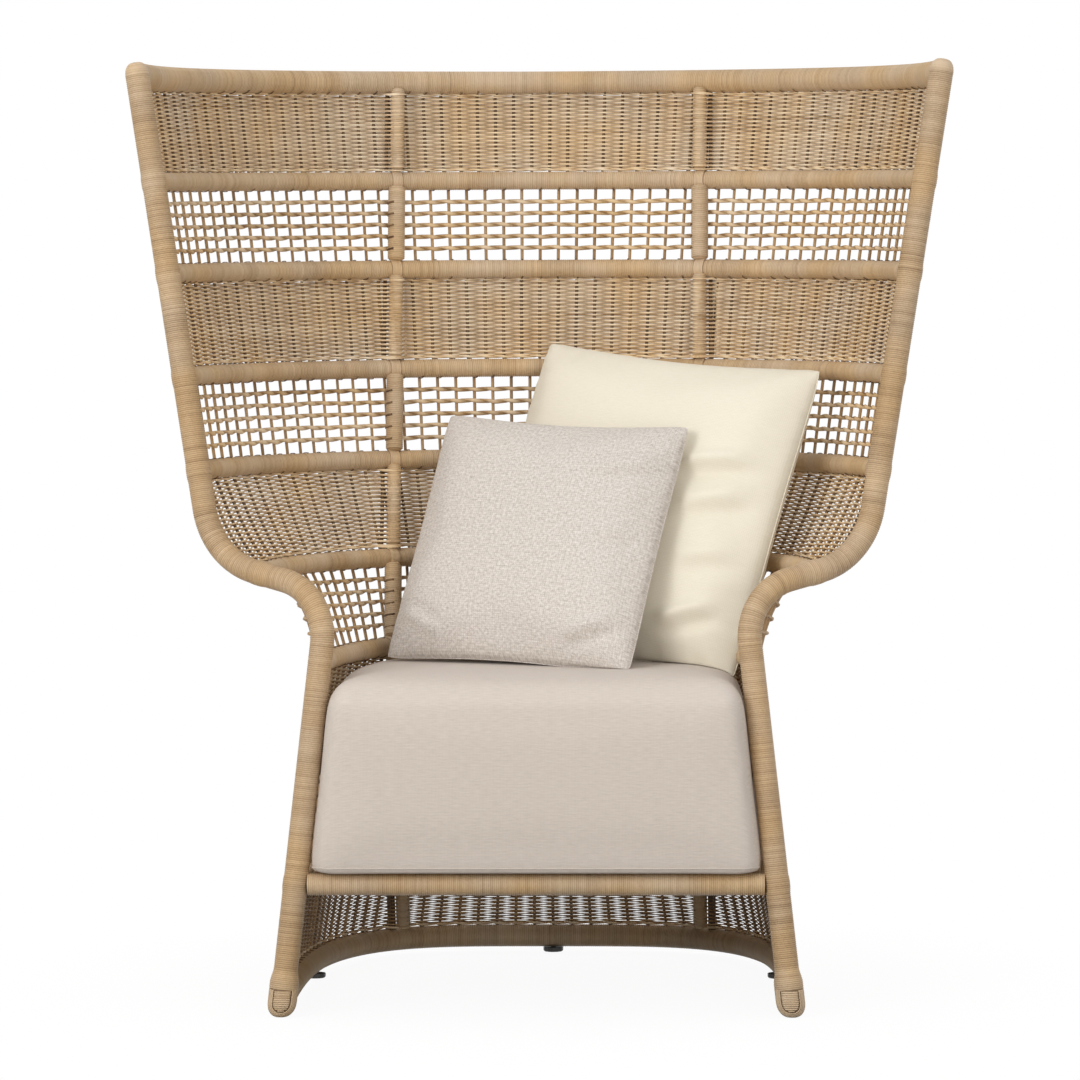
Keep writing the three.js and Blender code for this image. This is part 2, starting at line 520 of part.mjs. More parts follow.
// Seat cushion: a thick box with a crown, narrowing with the legs
function cushion(inset, points) {
  const bottom = DECK_TOP + CLEAR + inset, shoulderZ = CUSHION_TOP - inset;
  const back = Math.min(backY(SEAT_RING_Z), backY(CUSHION_TOP)) - CUSHION_BACK_GAP - inset, front = CUSHION_FRONT + inset;
  const rings = [];
  const outline = (z, shrink) => {
    const half = rimAt(z).x - MAIN_R - 2 - inset - shrink;
    const corner = CUSHION_CORNER, start = CUSHION_BEND_Y, y0 = front + shrink, y1 = back - shrink;
    const right = [];
    const quarter = points / 4;
    for (let i = 0; i <= quarter; i++) {
      if (i === 0) right.push([0, y0]);
      else if (i === 1) right.push([half * 0.55, y0]);
      else {
        const t = (i - 2) / (quarter - 2) * Math.PI / 2;
        right.push([half - corner * (1 - Math.sin(t)), y0 + corner * (1 - Math.cos(t))]);
      }
    }
    for (let i = 1; i <= quarter; i++) {
      const t = i / quarter * Math.PI / 2, power = 2.5;
      right.push([half * Math.max(Math.cos(t), 0) ** (2 / power), start + (y1 - start) * Math.sin(t) ** (2 / power)]);
    }
    const left = right.slice(1, -1).reverse().map(([x, y]) => [-x, y]);
    return [...right, ...left];
  };
  const middle = (front + back) / 2;
  const level = (z, shrink, factor = 1) => rings.push(outline(z, shrink).map(([x, y]) => [x * factor, middle + (y - middle) * factor, z]));
  level(bottom, CUSHION_ROLL * 1.5);
  level(bottom + CUSHION_ROLL * 0.7, CUSHION_ROLL * 0.4);
  level(bottom + CUSHION_ROLL * 2, 0);
  level(shoulderZ - CUSHION_ROLL * 2.4, 0);
  level(shoulderZ - CUSHION_ROLL, CUSHION_ROLL * 0.3);
  level(shoulderZ - CUSHION_ROLL * 0.2, CUSHION_ROLL);
  const rise = CUSHION_CROWN;
  const crown = (factor, lift) => rings.push(outline(shoulderZ, CUSHION_ROLL).map(([x, y]) => [x * factor, middle + (y - middle) * factor, shoulderZ + lift * rise]));
  crown(0.9, 0.62);
  crown(0.74, 0.97);
  const position = [0, middle, bottom];
  for (const r of rings) for (const v of r) position.push(...v);
  position.push(0, middle, shoulderZ + rise);
  const n = rings[0].length, index = [], last = 1 + n * rings.length;
  for (let j = 0; j < n; j++) {
    const k = (j + 1) % n;
    index.push(0, 1 + k, 1 + j);
    for (let i = 0; i < rings.length - 1; i++) {
      const a = 1 + i * n + j, b = 1 + i * n + k, c = 1 + (i + 1) * n + k, d = 1 + (i + 1) * n + j;
      index.push(a, b, c, a, c, d);
    }
    const i = 1 + (rings.length - 1) * n;
    index.push(i + j, i + k, last);
  }
  const geometry = new THREE.BufferGeometry();
  geometry.setAttribute('position', new THREE.BufferAttribute(new Float32Array(position), 3));
  geometry.setIndex(index);
  return solid(geometry);
}
let cushionBody;
{
  const back = Math.min(backY(SEAT_RING_Z), backY(CUSHION_TOP)) - CUSHION_BACK_GAP;
  const zip = box(WAIST_HALF, CUSHION_BACK_GAP, ZIP, 0, back, (DECK_TOP + CUSHION_TOP) / 2);
  cushionBody = cushion(0, 32);
  place('seat_cushion_cover', cut(cushionBody, cushion(COVER, 24), zip), 'seat');
  place('seat_cushion_foam', cushion(COVER + CLEAR, 24), 'foam');
}

// Loose pillows: square, drawn in along their sides, thin at the corners
function pillow(side, thick, cells) {
  const line = [];
  for (let i = 0; i <= cells; i++) line.push(Math.sin(Math.PI / 2 * (2 * i / cells - 1)));
  const position = [], index = [];
  const id = new Map();
  const vertex = (face, i, j) => {
    const edge = i === 0 || j === 0 || i === cells || j === cells;
    const key = edge ? `e${i},${j}` : `${face}${i},${j}`;
    if (!id.has(key)) {
      const u = line[i], v = line[j], draw = 0.055;
      const puff = edge ? 0 : thick / 2 * ((1 - u * u) * (1 - v * v)) ** 0.55;
      id.set(key, position.length / 3);
      position.push(side / 2 * u * (1 - draw * (1 - v * v)), face * puff, side / 2 * v * (1 - draw * (1 - u * u)));
    }
    return id.get(key);
  };
  for (let i = 0; i < cells; i++) for (let j = 0; j < cells; j++) {
    const q = (f) => [vertex(f, i, j), vertex(f, i + 1, j), vertex(f, i + 1, j + 1), vertex(f, i, j + 1)];
    const [a, b, c, d] = q(-1), [e, f, g, h] = q(1);
    index.push(a, b, c, a, c, d, e, g, f, e, h, g);
  }
  const geometry = new THREE.BufferGeometry();
  geometry.setAttribute('position', new THREE.BufferAttribute(new Float32Array(position), 3));
  geometry.setIndex(index);
  return geometry;
}
// Moves a body along a direction until it is about to touch what it rests on
function settle(body, direction, reach, supports) {
  const moved = (t) => body.translate(direction.x * t, direction.y * t, direction.z * t);
  let free = 0, met = reach;
  for (let k = 0; k < 24; k++) {
    const t = (free + met) / 2, trial = moved(t);
    if (supports.some((support) => !trial.intersect(support).isEmpty())) met = t;
    else free = t;
  }
  return direction.clone().multiplyScalar(free - CLEAR);
}
// A pillow stands on the seat, leans back on its supports and comes to rest
function loose(name, side, thick, start, turn, lean, roll, supports, kind) {
  const at = start.clone();
  const pose = (geometry) => geometry.rotateY(-roll).rotateX(-lean).rotateZ(turn).translate(at.x, at.y, at.z);
  const down = new THREE.Vector3(0, 0, -1), backward = new THREE.Vector3(0, 1, 0);
  for (const direction of [down, backward, down]) at.add(settle(solid(pose(pillow(side, thick, 10))), direction, side, supports));
  const inner = side - 2 * SEAM;
  const zip = new THREE.BoxGeometry(side * 0.5, ZIP, 4 * SEAM).translate(0, 0, -side / 2 + SEAM);
  const outside = solid(pose(pillow(side, thick, 10)));
  const cover = cut(outside, solid(pose(pillow(inner, thick - 2 * COVER, 6))), solid(pose(zip)));
  place(`${name}_cover`, cover, kind);
  place(`${name}_insert`, solid(pose(pillow(inner - 1, thick - 2 * COVER - 1, 6))), 'foam');
  return { outside, at };
}
const degrees = Math.PI / 180;
const SEAT_TOP = CUSHION_TOP + CUSHION_CROWN;
const backrest = [cushionBody, ...hoopsGrown, ...ribSleeves];
const seatBack = backY(SEAT_RING_Z);
const large = loose('large_pillow', LARGE_SIDE, LARGE_THICK, new THREE.Vector3(LARGE_X, seatBack - LARGE_SIDE * 0.4, SEAT_TOP + LARGE_SIDE * 0.55),
  -30.6 * degrees, 22.9 * degrees, -4.6 * degrees, backrest, 'cream');
loose('small_pillow', SMALL_SIDE, SMALL_THICK, new THREE.Vector3(SMALL_X, large.at.y - (SMALL_THICK + LARGE_THICK) * 0.6, SEAT_TOP + SMALL_SIDE * 0.55),
  -23.7 * degrees, 27.5 * degrees, -2.2 * degrees, [...backrest, large.outside], 'boucle');

// Origin under the middle of the whole chair
const extent = new THREE.Box3().setFromObject(chair);
for (const mesh of chair.children) mesh.geometry.translate(0, -(extent.min.y + extent.max.y) / 2, 0);

export default chair;
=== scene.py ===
# %% [markdown]
# # A peacock chair
# The chair is a bent tube frame wound with flat synthetic fibre. Woven rows, dense and
# open by turns, fill the space between its hoops, and a thick seat cushion and two loose
# pillows lie in it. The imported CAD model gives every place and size. This lesson dresses it:
# each winding, weave and cushion is made again as the real thing is made, and rides on the
# CAD body that carries it.

# %% Load the frame and keep its box
import math
import bpy
import numpy as np
from mathutils import Matrix, Vector
from mathutils.bvhtree import BVHTree


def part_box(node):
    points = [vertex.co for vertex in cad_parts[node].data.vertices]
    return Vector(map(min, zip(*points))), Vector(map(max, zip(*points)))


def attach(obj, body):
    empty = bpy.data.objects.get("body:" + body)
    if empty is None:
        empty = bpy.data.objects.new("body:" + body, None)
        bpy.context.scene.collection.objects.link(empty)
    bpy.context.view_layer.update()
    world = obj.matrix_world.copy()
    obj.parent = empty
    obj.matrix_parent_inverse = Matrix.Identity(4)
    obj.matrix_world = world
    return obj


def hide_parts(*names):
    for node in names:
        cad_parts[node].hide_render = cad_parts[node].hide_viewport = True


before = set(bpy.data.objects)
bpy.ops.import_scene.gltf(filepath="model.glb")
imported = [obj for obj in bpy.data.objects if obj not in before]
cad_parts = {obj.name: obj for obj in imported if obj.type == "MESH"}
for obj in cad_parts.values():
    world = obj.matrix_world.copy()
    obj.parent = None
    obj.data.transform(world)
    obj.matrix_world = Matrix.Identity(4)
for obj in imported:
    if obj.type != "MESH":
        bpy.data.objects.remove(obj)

scene = bpy.context.scene
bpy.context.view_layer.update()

# %% [markdown]
# ## The camera
# The photograph was taken from far away with a long lens, a little above the chair's
# middle and two degrees to its right. A camera could be aimed by hand, but here its place
# and its three turns are known, so its axes are built from them. The camera stands nine
# metres in front of the feet, and the front rail's solid says where the feet are.

# %% Camera
DISTANCE = 9.0
EYE_HEIGHT = 1.2388
YAW, TILT, ROLL, AIM = (math.radians(a) for a in (2.0899, 3.3553, -0.2336, 0.0559))
# The lens over the picture's width, both in pixels of the photograph.
LENS_OVER_WIDTH = 6084.5 / 1080
SENSOR_MM, FAR_CLIP = 36, 60
# How far a leg leans back for its height.
LEG_LEAN = 0.057 / 0.629

rail_low, rail_high = (np.array(c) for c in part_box("front_rail_wrap"))
FRONT_RAIL_Z = float(rail_low[2] + rail_high[2]) / 2
FEET_Y = float(rail_low[1] + rail_high[1]) / 2 - LEG_LEAN * FRONT_RAIL_Z

around = Matrix.Rotation(YAW, 3, "Z")
level = around @ Vector((math.sin(AIM), math.cos(AIM), 0))
sideways = around @ Vector((math.cos(AIM), -math.sin(AIM), 0))
ahead = level * math.cos(TILT) - Vector((0, 0, 1)) * math.sin(TILT)
lift = level * math.sin(TILT) + Vector((0, 0, 1)) * math.cos(TILT)
right = sideways * math.cos(ROLL) + lift * math.sin(ROLL)
up = lift * math.cos(ROLL) - sideways * math.sin(ROLL)
eye = around @ Vector((0, -DISTANCE, 0)) + Vector((0, FEET_Y, EYE_HEIGHT))

camera = bpy.data.objects.new("camera", bpy.data.cameras.new("camera"))
scene.collection.objects.link(camera)
camera.matrix_world = Matrix((right, up, -ahead)).transposed().to_4x4()
camera.location = eye
camera.data.sensor_fit = "HORIZONTAL"
camera.data.sensor_width = SENSOR_MM
camera.data.lens = SENSOR_MM * LENS_OVER_WIDTH
camera.data.clip_end = FAR_CLIP
scene.camera = camera
print("camera at", [round(v, 3) for v in eye], "lens", round(camera.data.lens, 1), "mm")

# %% [markdown]
# ## Colours and nodes
# Colours are written as they look on a screen, in sRGB, and one function turns them into the
# linear numbers that a shader needs. Another sets or links a node's inputs, and a third adds a
# node with its settings and its inputs, so that each material below reads as a short list.

# %% Colour and node helpers
def linear(hex_colour):
    parts = [int(hex_colour[i:i + 2], 16) / 255 for i in (1, 3, 5)]
    return tuple(c / 12.92 if c <= 0.04045 else ((c + 0.055) / 1.055) ** 2.4 for c in parts) + (1.0,)


def feed(tree, node, inputs):
    for name, value in inputs.items():
        if isinstance(value, bpy.types.NodeSocket):
            tree.links.new(value, node.inputs[name])
        else:
            node.inputs[name].default_value = value


def add(tree, kind, inputs=None, ramp=None, **settings):
    made = tree.nodes.new(kind)
    for name, value in settings.items():
        setattr(made, name, value)
    if ramp:
        elements = made.color_ramp.elements
        while len(elements) < len(ramp):
            elements.new(0.5)
        for element, (position, colour) in zip(elements, ramp):
            element.position = position
            element.color = linear(colour)
    feed(tree, made, inputs or {})
    return made


def finish_named(name):
    material = bpy.data.materials.new(name)
    material.use_nodes = True
    return material, material.node_tree, material.node_tree.nodes["Principled BSDF"]


# %% [markdown]
# ## Floor, backdrop and light
# The studio is white and soft. The world shows white to the camera, and lights the chair more
# gently than that. The floor is a wide pale disc that takes the chair's shadow close to it and
# turns into plain white further out. To the light that bounces it is a darker studio floor,
# so that the space under the seat stays dim. One broad lamp hangs above and to the left, and
# a weak one fills from the right.

# %% World
def seen_rays(tree):
    """1 for rays from the camera, in a reflection or through glass, which see a white studio."""
    rays = add(tree, "ShaderNodeLightPath")
    seen = rays.outputs["Is Camera Ray"]
    for other in ("Is Glossy Ray", "Is Transmission Ray"):
        either = add(tree, "ShaderNodeMath", {0: seen, 1: rays.outputs[other]}, operation="MAXIMUM")
        seen = either.outputs[0]
    return seen


scene.view_settings.view_transform = "Standard"
WORLD_LOW, WORLD_HIGH, WORLD_FULL_AT = 0.26, 1.10, 0.9

world = bpy.data.worlds.new("studio")
scene.world = world
world.use_nodes = True
tree = world.node_tree
background = tree.nodes["Background"]
where = add(tree, "ShaderNodeTexCoord")
height = add(tree, "ShaderNodeSeparateXYZ", {"Vector": where.outputs["Generated"]})
light = add(tree, "ShaderNodeMapRange", {"Value": height.outputs["Z"], "From Max": WORLD_FULL_AT,
                                         "To Min": WORLD_LOW, "To Max": WORLD_HIGH})
strength = add(tree, "ShaderNodeMapRange",
               {"Value": seen_rays(tree), "To Min": light.outputs[0], "To Max": 1.0})
feed(tree, background, {"Color": (1, 1, 1, 1), "Strength": strength.outputs[0]})
print("world lights at", WORLD_LOW, "from the side and", WORLD_HIGH, "from above")

# %% Floor
FLOOR_R, FLOOR_SIDES, FLOOR_DROP = 9, 96, 0.0006
WHITE_NEAR, WHITE_FROM, WHITE_TO = 0.94, 0.45, 1.0
BOUNCE_FROM, BOUNCE_TO = 0.5, 1.3

floor_mesh = bpy.data.meshes.new("floor")
turns = np.linspace(0, 2 * math.pi, FLOOR_SIDES + 1)[:-1]
edge = [(FLOOR_R * math.cos(a), FLOOR_R * math.sin(a), -FLOOR_DROP) for a in turns]
floor_mesh.from_pydata(edge, [], [list(range(FLOOR_SIDES))])
floor = bpy.data.objects.new("floor", floor_mesh)
scene.collection.objects.link(floor)

paper, tree, shader = finish_named("matt white paper")
feed(tree, shader, {"Base Color": linear("#f6f5f3"), "Roughness": 0.9})
where = add(tree, "ShaderNodeTexCoord")
far = add(tree, "ShaderNodeVectorMath", {0: where.outputs["Object"]}, operation="LENGTH")
whiteness = add(tree, "ShaderNodeMapRange",
                {"Value": far.outputs["Value"], "From Min": WHITE_FROM, "From Max": WHITE_TO,
                 "To Min": WHITE_NEAR},
                interpolation_type="SMOOTHSTEP")
white = add(tree, "ShaderNodeEmission", {"Color": (1, 1, 1, 1), "Strength": 1.0})
shown = add(tree, "ShaderNodeMixShader",
            {0: whiteness.outputs[0], 1: shader.outputs[0], 2: white.outputs[0]})
away = add(tree, "ShaderNodeMapRange",
           {"Value": far.outputs["Value"], "From Min": BOUNCE_FROM, "From Max": BOUNCE_TO},
           interpolation_type="SMOOTHSTEP")
bounce = add(tree, "ShaderNodeMix", {0: away.outputs[0], 6: linear("#3a342d"), 7: linear("#cfcbc5")},
             data_type="RGBA")
dim = add(tree, "ShaderNodeBsdfDiffuse", {"Color": bounce.outputs[2]})
mixed = add(tree, "ShaderNodeMixShader", {0: seen_rays(tree), 1: dim.outputs[0], 2: shown.outputs[0]})
feed(tree, tree.nodes["Material Output"], {"Surface": mixed.outputs[0]})
floor_mesh.materials.append(paper)
print("floor of", 2 * FLOOR_R, "m across")

# %% Lamps
LAMP_AIM = Vector((0, 0, 0.7))
LAMPS = {"broad lamp": ((-4.2, -6.0, 2.9), 3.6, 225), "fill lamp": ((1.8, -5.6, 1.0), 2.4, 66)}
for name, (place, size, watts) in LAMPS.items():
    lamp = bpy.data.lights.new(name, "AREA")
    lamp.shape = "DISK"
    lamp.size = size
    lamp.energy = watts
    holder = bpy.data.objects.new(name, lamp)
    scene.collection.objects.link(holder)
    holder.location = place
    holder.rotation_euler = (LAMP_AIM - Vector(place)).to_track_quat("-Z", "Y").to_euler()
print("lamps:", list(LAMPS))

# %% [markdown]
# ## The lines of the frame
# Everything on this chair follows a few lines: two rims that rise from the feet, bend
# outward at arm height and flare into wings, and level rings between them. They are the CAD
# model's own lines with the same named sizes, drawn finer. A rim is three straight runs
# with rounded corners. A ring is a squared half ellipse from rim to rim.

# %% Sizes in metres
MAIN_R, HOOP_R, RAIL_R = 0.0185, 0.015, 0.017
MAIN_CORE_R, RIB_CORE_R, RAIL_CORE_R = 0.014, 0.0098, 0.0125
TOP_RAIL_Z, SEAT_RING_Z, DECK_RING_Z, BASE_RING_Z = 1.400, 0.520, 0.200, 0.026
ROW_SHARES = np.array([157, 140, 156, 142, 150, 135])
FOOT, WAIST = np.array([0.381, 0, 0]), np.array([0.311, 0.057, 0.629])
SHOULDER, TIP = np.array([0.4925, 0.158, 0.674]), np.array([0.6125, 0.261, 1.417])
WAIST_BEND_R, SHOULDER_BEND_R = 0.092, 0.120
BACK_TOP_Y, BACK_SEAT_Y, BACK_BASE_Y, BACK_BEND = 0.789, 0.557, 0.788, 0.070
PLAN_UPPER, PLAN_BASE = 1.95, 3.7
RIB_HALF, RIB_INSET, WEAVE_OUTSET = 0.244, 0.009, 0.010
SHIFT = np.array([0, FEET_Y, 0])
UP = np.array([0.0, 0.0, 1.0])
SIDES = ((-1, "left"), (1, "right"))
ROWS, SKIRT_ROW = 9, 8

hoop_z = TOP_RAIL_Z - (TOP_RAIL_Z - SEAT_RING_Z) * np.cumsum(ROW_SHARES) / ROW_SHARES.sum()
SHELF_Z = hoop_z[4]
RING_Z = np.array([TOP_RAIL_Z, *hoop_z, (SEAT_RING_Z + DECK_RING_Z) / 2, DECK_RING_Z, BASE_RING_Z])
RING_R = np.array([MAIN_R] + [HOOP_R] * 8 + [MAIN_R])
print("rings at", [round(float(z), 3) for z in RING_Z])


# %% Lines
def unit(v):
    return v / np.maximum(np.linalg.norm(v, axis=-1, keepdims=True), 1e-12)


def runs(line):
    """How far along a line each of its points lies."""
    steps = np.linalg.norm(np.diff(line, axis=-2), axis=-1)
    return np.concatenate([np.zeros_like(steps[..., :1]), np.cumsum(steps, axis=-1)], -1)


def length_of(line):
    return float(runs(line)[-1])


def between(wanted, marks, line):
    """Points of a line at the wanted marks, where each of its points has a mark of its own."""
    return np.stack([np.interp(wanted, marks, line[:, k]) for k in range(3)], -1)


def spaced(line, count):
    """The same line with count points at equal steps along it."""
    along = runs(line)
    return between(np.linspace(0, along[-1], count), along, line)


def rounded(before, corner, after, radius, count=40):
    a, b = unit(before - corner), unit(after - corner)
    half = math.acos(float(a @ b)) / 2
    centre = corner + unit(a + b) * radius / math.sin(half)
    start = corner + a * radius / math.tan(half) - centre
    end = corner + b * radius / math.tan(half) - centre
    turn = math.acos(float(unit(start) @ unit(end)))
    t = np.linspace(0, 1, count)[:, None]
    return centre + (np.sin((1 - t) * turn) * start + np.sin(t * turn) * end) / math.sin(turn)


rim_line = spaced(np.vstack([FOOT - (WAIST - FOOT) * 0.05, FOOT,
                             rounded(FOOT, WAIST, SHOULDER, WAIST_BEND_R),
                             rounded(WAIST, SHOULDER, TIP, SHOULDER_BEND_R),
                             TIP, TIP + (TIP - SHOULDER) * 0.05]), 2400)


def rim_at(z):
    return between(z, rim_line[:, 2], rim_line)


def back_y(z):
    rise = (BACK_TOP_Y - BACK_SEAT_Y) / (TOP_RAIL_Z - SEAT_RING_Z)
    fall = (BACK_BASE_Y - BACK_SEAT_Y) / (SEAT_RING_Z - BASE_RING_Z)
    h = z - SEAT_RING_Z
    bend = np.sqrt(h * h + BACK_BEND ** 2) - BACK_BEND / 2
    return BACK_SEAT_Y + (rise - fall) / 2 * h + (rise + fall) / 2 * bend


def level_line(z, count):
    """A ring from the left rim round the back to the right rim."""
    power = PLAN_UPPER + (PLAN_BASE - PLAN_UPPER) * np.clip((SHELF_Z - z) / (SHELF_Z - BASE_RING_Z), 0, 1)
    ends = rim_at(z)
    angle = np.linspace(-math.pi / 2, math.pi / 2, 6001)
    s, c = np.sin(angle), np.maximum(np.cos(angle), 0)
    x = ends[0] * np.sign(s) * np.abs(s) ** (2 / power)
    y = ends[1] + (back_y(z) - ends[1]) * c ** (2 / power)
    return spaced(np.stack([x, y, np.full_like(x, z)], 1), count)


FINE = 1201
ring_lines = np.stack([level_line(z, FINE) for z in RING_Z])
across = np.linspace(-1, 1, FINE)
print("ring lengths", [round(length_of(line), 3) for line in ring_lines])

# %% [markdown]
# ## The shell between the rings
# A woven row is stretched from one ring to the next, so its surface runs straight between
# them, and at its two ends it keeps to the rims. The weave lies a little behind the rings'
# middle lines, because the ribs pass in front of it.


# %% Shell
def shell(row, share):
    """Points of a row at a share of its height, 0 at the upper ring and 1 at the lower one."""
    upper, lower = ring_lines[row], ring_lines[row + 1]
    at = upper + (lower - upper) * share
    off = rim_at(at[0, 2]) - (rim_at(RING_Z[row]) * (1 - share) + rim_at(RING_Z[row + 1]) * share)
    pull = np.abs(across) ** 5
    at[:, 0] += off[0] * np.sign(across) * pull
    at[:, 1] += off[1] * pull
    return at


def outward(line):
    along = np.gradient(line, axis=-2)
    return unit(np.stack([-along[..., 1], along[..., 0], np.zeros_like(along[..., 0])], -1))


def picked(places, line):
    return between(places, across, line)


def columns(row, places, shares):
    """Points on a row's shell, one line for each share of the height along the surface."""
    grid = np.stack([shell(row, s) for s in np.linspace(0, 1, 41)])
    grid = grid + outward(grid) * WEAVE_OUTSET
    grid = np.stack([picked(places, g) for g in grid])
    run = runs(grid.transpose(1, 0, 2))
    shares = np.asarray(shares)
    return np.stack([between(shares * run[j, -1], run[j], grid[:, j]) for j in range(len(places))], 1)


print("shell at the middle of row 1:", np.round(shell(0, 0.5)[FINE // 2], 3))

# %% [markdown]
# ## Sweeping strands
# Nearly every piece of this chair is a strand or a winding, so one helper sweeps an oval
# along many lines at once and returns plain arrays. A curve object with a bevel could do it
# too, but a mesh lets each strand carry its own tone, which the fibre's material reads.


# %% Sweep helper
def sweep(lines, facing, half_in, half_across, sides):
    """Sweeps an oval along each line. facing is where its first half size looks."""
    lines = np.asarray(lines, float)
    along = unit(np.gradient(lines, axis=1))
    facing = np.broadcast_to(facing, lines.shape)
    first = unit(facing - (facing * along).sum(-1, keepdims=True) * along)
    second = np.cross(along, first)
    m, n = lines.shape[:2]
    angle = 2 * math.pi * (np.arange(sides) + 0.5) / sides
    inward = np.broadcast_to(half_in, (m, n))[..., None, None] * np.cos(angle)[:, None]
    aside = np.broadcast_to(half_across, (m, n))[..., None, None] * np.sin(angle)[:, None]
    points = lines[:, :, None] + first[:, :, None] * inward + second[:, :, None] * aside
    i, j = np.arange(n - 1)[:, None], np.arange(sides)[None, :]
    a, b = i * sides + j, i * sides + (j + 1) % sides
    skin = np.stack([a, b, b + sides, a + sides], -1).reshape(-1, 4)
    cap = np.array([[0, 2 * k + 1, 2 * k + 2, 2 * k + 3] for k in range(sides // 2 - 1)])
    one = np.vstack([skin, cap[:, ::-1], cap + (n - 1) * sides])
    quads = (one[None] + (np.arange(m) * n * sides)[:, None, None]).reshape(-1, 4)
    return points.reshape(-1, 3), quads


def strands(lines, facing, half_in, half_across, tones):
    """Six-sided strands along some lines. There is one tone for all of them, for each strand or
    for each point of each strand."""
    points, quads = sweep(lines, facing, half_in, half_across, 6)
    tones = np.asarray(tones)
    tones = np.broadcast_to(tones[:, None] if tones.ndim == 1 else tones, lines.shape[:2])
    return points, quads, np.repeat(tones.ravel(), 6)


def joined(parts):
    """One set of points, faces and tones from several."""
    points, quads, tones, start = [], [], [], 0
    for p, q, t in parts:
        points.append(p)
        quads.append(q + start)
        tones.append(np.broadcast_to(t, len(p)))
        start += len(p)
    return np.vstack(points), np.vstack(quads), np.concatenate(tones)


# %% Piece helper
def note(mesh, name, kind, field, values):
    layer = mesh.attributes.new(name, kind, "POINT")
    layer.data.foreach_set(field, np.ascontiguousarray(values, np.float32).ravel())


def edge_ends(mesh):
    ends = np.empty(len(mesh.edges) * 2, np.int32)
    mesh.edges.foreach_get("vertices", ends)
    return ends.reshape(-1, 2)


def piece(name, points, quads, tone, material, body, nodes, slot, grooves=None):
    """A mesh object that stands for CAD nodes and rides on a body."""
    mesh = bpy.data.meshes.new(name)
    mesh.vertices.add(len(points))
    mesh.vertices.foreach_set("co", np.ascontiguousarray(points, np.float32).ravel())
    mesh.loops.add(quads.size)
    mesh.loops.foreach_set("vertex_index", np.ascontiguousarray(quads, np.int32).ravel())
    mesh.polygons.add(len(quads))
    mesh.polygons.foreach_set("loop_start", np.arange(0, quads.size, 4, dtype=np.int32))
    mesh.update(calc_edges=True)
    mesh.polygons.foreach_set("use_smooth", np.ones(len(quads), bool))
    note(mesh, "tone", "FLOAT", "value", tone)
    if grooves is not None:
        sharp = grooves[edge_ends(mesh)].all(1)
        mesh.attributes.new("sharp_edge", "BOOLEAN", "EDGE").data.foreach_set("value", sharp)
    mesh.materials.append(material)
    made = bpy.data.objects.new(name, mesh)
    scene.collection.objects.link(made)
    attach(made, body)
    if nodes:
        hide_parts(*nodes)
    return made


# %% [markdown]
# ## Fibre
# The fibre is extruded polyethylene, made to look like dried cane: straw and honey tones run
# into each other. Each strand carries a tone from 0, dark honey, to 1, pale straw. The
# material turns that into colour, adds a fine speckle, leans to yellow in wide soft patches,
# and keeps a satin gloss.


# %% Fibre materials
SPECKLE, DRIFT, BATCH = 0.004, 0.05, 0.09


def fibre(name, ramp, rough):
    # Extruded polyethylene, satin: soft glints on round strands, no clear reflections.
    material, tree, shader = finish_named(name)
    tone = add(tree, "ShaderNodeAttribute", attribute_name="tone")
    where = add(tree, "ShaderNodeTexCoord")
    speckle = add(tree, "ShaderNodeTexNoise",
                  {"Vector": where.outputs["Object"], "Scale": 1 / SPECKLE, "Detail": 3.0, "Roughness": 0.6})
    drift = add(tree, "ShaderNodeTexNoise",
                {"Vector": where.outputs["Object"], "Scale": 1 / DRIFT, "Detail": 2.0})
    total = tone.outputs["Fac"]
    for noise in (speckle, drift):
        part = add(tree, "ShaderNodeMath", {0: noise.outputs["Fac"], 1: 0.16, 2: -0.08},
                   operation="MULTIPLY_ADD")
        total = add(tree, "ShaderNodeMath", {0: total, 1: part.outputs[0]}, operation="ADD").outputs[0]
    colour = add(tree, "ShaderNodeValToRGB", {"Fac": total}, ramp=ramp)
    batch = add(tree, "ShaderNodeTexNoise",
                {"Vector": where.outputs["Object"], "Scale": 1 / BATCH, "Detail": 1.0})
    lean = add(tree, "ShaderNodeMapRange",
               {"Value": batch.outputs["Fac"], "From Min": 0.35, "From Max": 0.65})
    tinted = add(tree, "ShaderNodeMix",
                 {0: lean.outputs[0], 6: colour.outputs["Color"], 7: linear("#fff6e2")},
                 data_type="RGBA", blend_type="MULTIPLY")
    gloss = add(tree, "ShaderNodeMapRange",
                {"Value": speckle.outputs["Fac"], "To Min": rough - 0.08, "To Max": rough + 0.1})
    bump = add(tree, "ShaderNodeBump",
               {"Height": speckle.outputs["Fac"], "Strength": 0.2, "Distance": 0.0003})
    feed(tree, shader, {"Base Color": tinted.outputs[2], "Roughness": gloss.outputs[0],
                        "Normal": bump.outputs[0], "IOR": 1.5, "Specular IOR Level": 0.4})
    return material


STRAW = [(0.0, "#523d27"), (0.25, "#a68c6d"), (0.5, "#cab294"), (0.7, "#d6c0a5"), (1.0, "#e8d8c3")]
HONEY = [(0.0, "#573e26"), (0.25, "#a8885f"), (0.5, "#dcc3a1"), (0.75, "#ecdabd"), (1.0, "#f8eedd")]
winding_fibre = fibre("polyethylene winding fibre", STRAW, 0.5)
weaving_fibre = fibre("polyethylene weaving fibre", HONEY, 0.48)


def winding(name, node, points, quads, tone, groove):
    """A piece of winding fibre on the frame, which stands for one CAD node."""
    piece(name, points, quads, tone, winding_fibre, "frame", [node], "fibre_winding", groove)


def weaving(name, node, parts):
    """A piece of weaving fibre on the frame, from several parts. Returns how many faces it has."""
    points, quads, tone = joined(parts)
    piece(name, points, quads, tone, weaving_fibre, "frame", [node], "fibre_weave")
    return len(quads)


print("fibre materials made")

